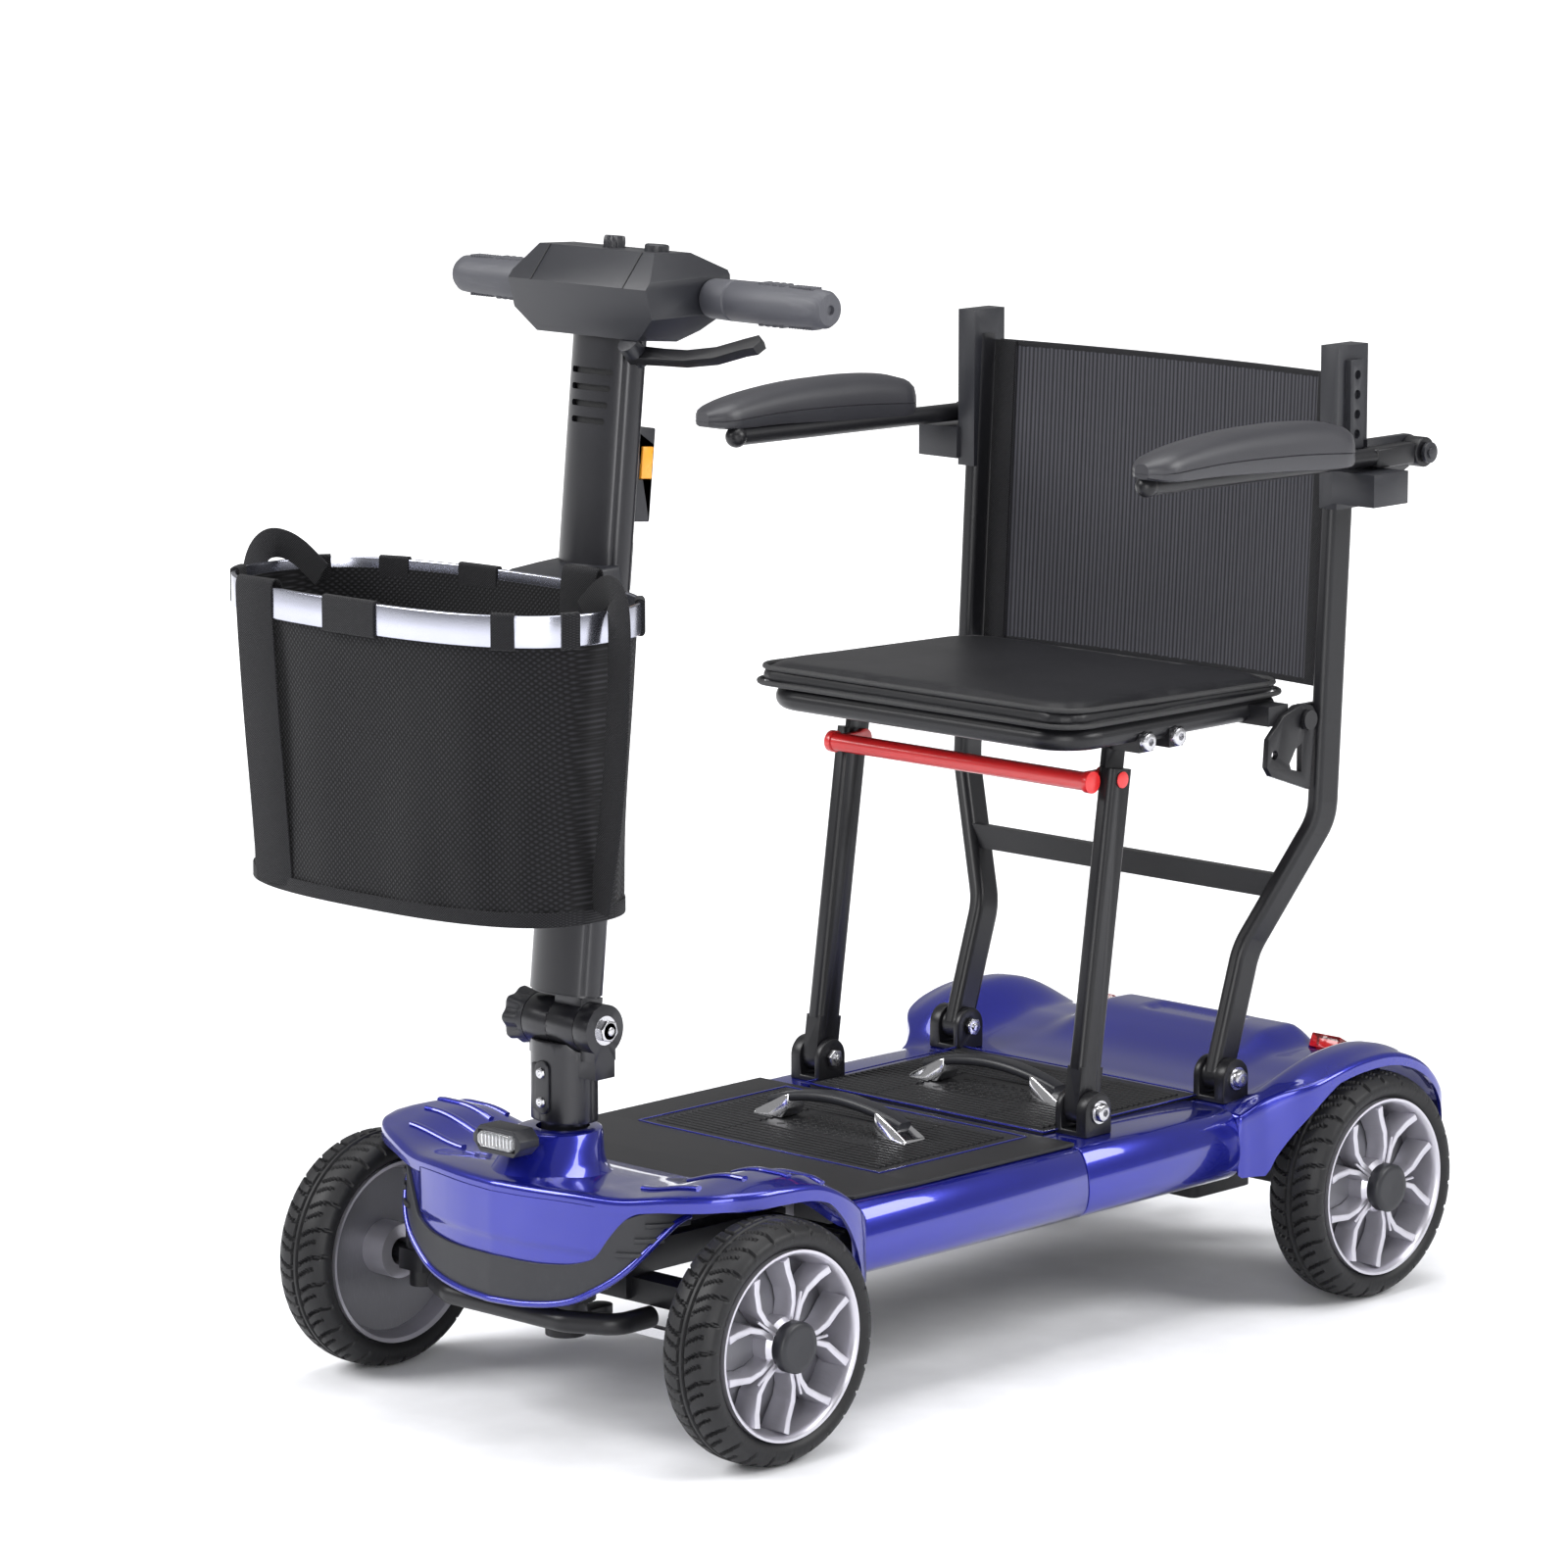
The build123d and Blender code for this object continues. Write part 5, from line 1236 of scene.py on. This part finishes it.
# ---------------------------------------------------------------- seat
def puffed(ob, pressure=4.0, cap=9.0, voxel=5.0):
    """The body swollen by a short cloth run, with each point's travel capped, then smoothed."""
    mod = ob.modifiers.new("voxels", "REMESH")
    mod.mode = "VOXEL"
    mod.voxel_size = voxel / 1000
    baked(ob)
    start = np.array([v.co for v in ob.data.vertices])
    cloth = ob.modifiers.new("cloth", "CLOTH")
    s = cloth.settings
    s.quality = 5
    s.mass = 0.3
    s.use_pressure = True
    s.uniform_pressure_force = pressure
    s.effector_weights.gravity = 0
    s.tension_stiffness = 20
    s.compression_stiffness = 20
    s.shear_stiffness = 10
    s.bending_stiffness = 1.5
    cloth.point_cache.frame_start = 1
    cloth.point_cache.frame_end = 20
    for number in range(1, 21):
        bpy.context.scene.frame_set(number)
    baked(ob)
    end = np.array([v.co for v in ob.data.vertices])
    move = end - start
    size = np.linalg.norm(move, axis=1)
    limit = cap / 1000
    scale = np.where(size > limit, limit / np.maximum(size, 1e-9), 1.0)
    end = start + move * scale[:, None]
    ob.data.vertices.foreach_set("co", end.ravel())
    ob.data.update()
    bpy.context.scene.frame_set(1)
    return subdivided(ob, 1, 60)


def seat_shapes():
    low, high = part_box("seat_cushion")
    outline = rounded_bar((high.x - low.x) * 1000 - 7, (high.y - low.y) * 1000 - 7, 30, 8)
    cy = (low.y + high.y) / 2
    lean = math.atan2(0.007, 0.300)
    rings = []
    for z, inset in ((low.z * 1000 + 0.6, 5), (low.z * 1000 + 2.5, 1), (low.z * 1000 + 8, 0),
                     (low.z * 1000 + 12, 1.5), (low.z * 1000 + 14, 5)):
        ring = []
        for a, b in outline:
            k = 1 - inset / 150
            up = -(b / 1000) * math.tan(lean) * 1000 * ((z - low.z * 1000) / 14)
            ring.append(Vector((a * k / 1000, cy + b * k / 1000, (z + up) / 1000)))
        rings.append(ring)
    cushion = puffed(loft("seat_pad", rings), pressure=3.0, cap=5.0)
    co = np.array([v.co for v in cushion.data.vertices])
    floor = low.z + 0.0004
    co[:, 2] = np.maximum(co[:, 2], floor)
    cushion.data.vertices.foreach_set("co", co.ravel())
    cushion.data.update()
    settle(cushion, "leather", "seat", "seat_leatherette", "seat_cushion")
    piping = []
    for level in (3.0, 13.6):
        outer = rounded_bar((high.x - low.x) * 1000 - 9 - (level > 8) * 7,
                            (high.y - low.y) * 1000 - 9 - (level > 8) * 7, 29, 8)
        path = []
        for a, b in outer + outer[:1]:
            up = -(b / 1000) * math.tan(lean) * (level / 14)
            path.append(Vector((a / 1000, cy + b / 1000, low.z + level / 1000 + up)))
        path = resample(path, 0.006)
        piping.append(swept(f"piping_{level}", path, circle(2.3, 10)))
    settle(joined("seat_piping", piping), "piping", "seat", "seat_leatherette")

    low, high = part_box("backrest_sling")
    cols, rows = 120, 44
    verts = []
    for j in range(rows + 1):
        t = j / rows
        z = 537 + 269 * t
        centre_y = 335 + (z - 426) * (356 - 335) / (812 - 426) + 8
        for i in range(cols + 1):
            u = -1 + 2 * i / cols
            depth = 14 * (1 - u * u) + 1.3 * math.sin(t * math.pi) * (1 - u * u)
            rib = 0.55 * math.cos(u * 197 / 4.6 * 2 * math.pi / 1.0) * (1 - smooth(abs(u), 0.86, 0.9))
            x = u * (197.6 - 2.2 * math.sin(t * math.pi))
            drop = 3.5 * (1 - u * u) * (j == 0)
            verts.append(at(x, centre_y + depth - 0.5 * rib, z + drop))
    faces = [(j * (cols + 1) + i, j * (cols + 1) + i + 1, (j + 1) * (cols + 1) + i + 1,
              (j + 1) * (cols + 1) + i) for j in range(rows) for i in range(cols)]
    sling = piece("sling_cloth", verts, faces, 70)
    thickened(sling, 2.0, 70)
    settle(sling, "sling", "backrest", "sling_mesh", "backrest_sling")
    bands = []
    for side in (1, -1):
        path = [at(side * 186, 335 + (z - 426) * 21 / 386 + 6.6, z) for z in np.linspace(537, 806, 20)]
        bands.append(swept(f"band_{side}", path, rounded_bar(24, 2.6, 1, 2), up=(0, 1, 0)))
    for z in (539, 804):
        path = []
        for u in np.linspace(-0.98, 0.98, 40):
            y = 335 + (z - 426) * 21 / 386 + 7.3 + 14 * (1 - u * u)
            path.append(at(u * 197, y, z))
        bands.append(swept(f"hem_{z}", path, rounded_bar(3.2, 6, 1.4, 3)))
    settle(joined("sling_bands", bands), "webbing", "backrest", "sling_mesh")

    for side, label in ((1, "left"), (-1, "right")):
        body = "armrest_" + label
        start, end = at(side * 235, 66, 742), at(side * 235, 422, 738)
        tube = swept("arm_tube", [start.lerp(end, k / 12) for k in range(13)], circle(8, 28))
        ball = lathe("arm_ball", [(9.6 * math.cos(a), max(9.6 * math.sin(a), 0.01))
                                  for a in np.linspace(0, math.pi, 16)], start, axis=(0, -1, 0), segments=28,
                     closed=False)
        knuckle = bevelled(lathe("knuckle", [(-8.8, 5.1), (-8.8, 13), (8.8, 13), (8.8, 5.1)], end,
                                 segments=48), 1.0)
        rings = []
        for y, w, h0, h1 in ((-64, 8.6, -8.4, 8.6), (-40, 9, -8.5, 9), (-14, 9, -8.5, 9.5)):
            rings.append([end + Vector((a * w / 1000, y / 1000, z / 1000))
                          for a, z in ((-1, h0), (1, h0), (1, h1), (-1, h1))])
        lug = bevelled(loft("lug", rings), 2, 3, 20)
        settle(joined(f"arm_bar_{label}", [tube, ball, knuckle, lug]), "powder", body, "frame_black",
               "armrest_" + label)
        crown = curve_through([(40, 764), (60, 771), (110, 779), (180, 783), (240, 782), (285, 775),
                               (303, 767)])
        foot = curve_through([(40, 752), (52, 749.5), (120, 747.5), (200, 743.5), (280, 739.5), (303, 741)])
        rings = []
        for t in np.linspace(0, 1, 30):
            y = 40.5 + 262 * t
            end_round = min(1.0, math.sqrt(max(1 - (1 - min(t, 1 - t) * 262 / 22) ** 2, 0.0))
                            if min(t, 1 - t) * 262 < 22 else 1.0)
            w = (24.2 - 2.5 * (1 - t) ** 2) * max(end_round, 0.34)
            z0, z1 = float(foot(y)), float(crown(y))
            band = z0 + (z1 - z0) * 0.36
            ring = []
            for a, z in ((-0.7, z0), (0.7, z0), (0.95, z0 + 1.5), (1, z0 + 4), (1, band - 0.6), (0.965, band),
                         (1, band + 0.6), (0.985, band + (z1 - band) * 0.35),
                         (0.86, band + (z1 - band) * 0.72), (0.55, z1 - (z1 - band) * 0.06), (0, z1),
                         (-0.55, z1 - (z1 - band) * 0.06), (-0.86, band + (z1 - band) * 0.72),
                         (-0.985, band + (z1 - band) * 0.35), (-1, band + 0.6), (-0.965, band),
                         (-1, band - 0.6), (-1, z0 + 4), (-0.95, z0 + 1.5)):
                ring.append(at(side * 251 + a * w, y, z))
            rings.append(ring)
        pad = loft(f"arm_pad_{label}", rings, True, 40)
        settle(pad, "pad", body, "arm_pad")


def fitting_shapes():
    """Frames, brackets and the rest of the metalwork: bevelled copies of their CAD nodes."""
    for node, material, width in (
            ("main_frame", "powder", 1.2), ("seat_brackets", "powder", 1.4), ("front_legs", "powder", 0.8),
            ("hook_plates", "powder", 0.7), ("post_fittings", "console", 2.2), ("transaxle", "cast", 3.0),
            ("antitip_bracket", "powder", 0.8), ("steering_arm", "powder", 0.8), ("tie_rod", "steel", 1.2),
            ("knuckle_left", "powder", 1.2), ("knuckle_right", "powder", 1.2), ("release_bar", "red", 0.8),
            ("headlight_housing", "console", 1.4), ("headlight_lens", "lens", 1.0),
                                  ("controller_box", "silver", 0.6),
            ("battery_packs", "case", 1.5)):
        body = next(b for b, members in frame["record"]["behaviour"]["bodies"].items() if node in members)
        slot = next(s["material_slot"] for s in frame["record"]["subparts"] if s["node"] == node)
        settle(softened(node, node + "_skin", width), material, body, slot)
    for node, material in (("back_frame", "powder"), ("seat_frame", "powder"), ("handlebar", "tube")):
        carry_over(node, material)
        mesh = frame["nodes"][node].data
        mesh.shade_smooth()
        mesh.set_sharp_from_angle(angle=math.radians(32))
    bars = []
    for k in range(9):
        x = -16 + 4 * k
        bars.append(swept(f"lamp_bar_{k}", [at(x, -453, 236), at(x, -453, 244)],
                          rounded_bar(1.6, 2.4, 0.5, 2), up=(0, 1, 0)))
    settle(joined("lamp_bars", bars), "chrome", "chassis", "chrome_trim")


# ---------------------------------------------------------------- stage
def stage_shapes(p):
    world = bpy.data.worlds.new("studio")
    bpy.context.scene.world = world
    world.use_nodes = True
    world.node_tree.nodes["Background"].inputs[0].default_value = (1, 1, 1, 1)
    world.node_tree.nodes["Background"].inputs[1].default_value = p.ambient
    mesh = bpy.data.meshes.new("floor")
    mesh.from_pydata([(-60, -60, 0), (60, -60, 0), (60, 60, 0), (-60, 60, 0)], [], [(0, 1, 2, 3)])
    floor = bpy.data.objects.new("floor", mesh)
    bpy.context.scene.collection.objects.link(floor)
    mat = finish("pale floor", (0.84, 0.845, 0.87), 0.6, grain=60, depth=0.0, worn=0.0)
    tree = mat.node_tree
    place = tree.nodes.new("ShaderNodeTexCoord").outputs["Object"]
    far = wired(tree, "ShaderNodeVectorMath", {0: place}, operation="LENGTH").outputs["Value"]
    glow = wired(tree, "ShaderNodeMapRange", {"Value": far, "From Min": 0.9, "From Max": 5.0, "To Max": 0.95},
                 interpolation_type="SMOOTHSTEP")
    inputs = tree.nodes["Principled BSDF"].inputs
    inputs["Emission Color"].default_value = (1, 1, 1, 1)
    tree.links.new(glow.outputs[0], inputs["Emission Strength"])
    floor.data.materials.append(mat)
    for name, place, size, power, aim in (
            ("key", (-2.4, -3.4, 3.6), 2.6, p.key_power, (0, 0, 0.3)),
            ("rim", (3.4, 1.6, 2.8), 2.2, p.key_power * 0.55, (0, 0, 0.4)),
            ("fill", (3.2, -3.6, 1.6), 2.6, p.key_power * 0.45, (0, 0, 0.3)),
            ("top", (0, 0, 4.2), 3.4, p.key_power * 0.6, (0, 0, 0))):
        light = bpy.data.lights.new(name, "AREA")
        light.shape = "SQUARE"
        light.size = size
        light.energy = power
        ob = bpy.data.objects.new(name, light)
        ob.location = place
        ob.rotation_mode = "QUATERNION"
        ob.rotation_quaternion = (Vector(aim) - Vector(place)).to_track_quat("-Z", "Y")
        bpy.context.scene.collection.objects.link(ob)
    cam = bpy.data.cameras.new("camera")
    cam.sensor_width = 36
    cam.lens = 156.5
    cam.shift_x, cam.shift_y = -0.0059, 0.0012
    cam.clip_end = 100
    ob = bpy.data.objects.new("camera", cam)
    a, e = math.radians(p.azimuth), math.radians(p.elevation)
    back = Vector((math.sin(a) * math.cos(e), -math.cos(a) * math.cos(e), math.sin(e)))
    ob.location = Vector((-0.1037, middle, 0.4586)) + back * 5.8365
    ob.rotation_mode = "QUATERNION"
    ob.rotation_quaternion = (-back).to_track_quat("-Z", "Y")
    bpy.context.scene.collection.objects.link(ob)
    bpy.context.scene.camera = ob
    bpy.context.scene.view_settings.view_transform = "Standard"


# ---------------------------------------------------------------- add-on
class ScooterSettings(bpy.types.PropertyGroup):
    """Sizes and colours a user may change."""
    paint: bpy.props.FloatVectorProperty(name="Body paint", description="Colour of the gloss bodywork",
                                         size=3, subtype="COLOR", default=(0.008, 0.012, 0.25), min=0, max=1)
    ambient: bpy.props.FloatProperty(name="Ambient", description="Strength of the even light", default=0.34,
                                     min=0)
    key_power: bpy.props.FloatProperty(name="Key power", description="Power of the main softbox",
                                       default=270.0, min=0, unit="POWER")
    azimuth: bpy.props.FloatProperty(name="Azimuth",
                                     description="Camera's turn round the scooter, in degrees", default=43.61)
    elevation: bpy.props.FloatProperty(name="Elevation", description="Camera's height, in degrees",
                                       default=10.14)


def operator(name, label, doc, work):
    def execute(self, context):
        work()
        return {"FINISHED"}
    return type(name, (bpy.types.Operator,), {
        "__doc__": doc, "bl_idname": "scooter." + label.lower().replace(" ", "_"), "bl_label": label,
        "bl_options": {"REGISTER", "UNDO"}, "execute": execute})


def settings():
    return bpy.context.scene.scooter_settings


operators = [
    operator("SCOOTER_OT_finishes", "Finishes", "Makes the materials", lambda: make_finishes(settings())),
    operator("SCOOTER_OT_stage", "Stage", "Makes the floor, lights and camera",
             lambda: stage_shapes(settings())),
    operator("SCOOTER_OT_body", "Body", "Makes the blue bodywork and its bumper", body_shapes),
    operator("SCOOTER_OT_deck", "Deck", "Makes the footboard, lids and carrying handles", deck_shapes),
    operator("SCOOTER_OT_wheels", "Wheels", "Makes tyres, rims and hub caps", wheel_shapes),
    operator("SCOOTER_OT_bolts", "Bolts", "Makes the pivot and seat hardware", bolt_shapes),
    operator("SCOOTER_OT_tiller", "Tiller", "Makes the tiller, hinge, head and controls", tiller_shapes),
    operator("SCOOTER_OT_basket", "Basket", "Makes the basket with its rim and straps", basket_shapes),
    operator("SCOOTER_OT_seat", "Seat", "Makes the cushion, sling and armrests", seat_shapes),
    operator("SCOOTER_OT_fittings", "Fittings", "Makes the frames and brackets", fitting_shapes),
]


class SCOOTER_PT_panel(bpy.types.Panel):
    """Lists the scooter's builders."""
    bl_label = "Scooter"
    bl_idname = "SCOOTER_PT_panel"
    bl_space_type = "VIEW_3D"
    bl_region_type = "UI"
    bl_category = "Scooter"

    def draw(self, context):
        for prop in ("paint", "ambient", "key_power", "azimuth", "elevation"):
            self.layout.prop(context.scene.scooter_settings, prop)
        for op in operators:
            self.layout.operator(op.bl_idname)


def register():
    for cls in [ScooterSettings] + operators + [SCOOTER_PT_panel]:
        bpy.utils.register_class(cls)
    bpy.types.Scene.scooter_settings = bpy.props.PointerProperty(type=ScooterSettings)


def unregister():
    del bpy.types.Scene.scooter_settings
    for cls in [SCOOTER_PT_panel] + operators[::-1] + [ScooterSettings]:
        bpy.utils.unregister_class(cls)


def main():
    register()
    for op in operators:
        getattr(bpy.ops.scooter, op.bl_idname.split(".")[1])()


if __name__ == "__main__":
    main()
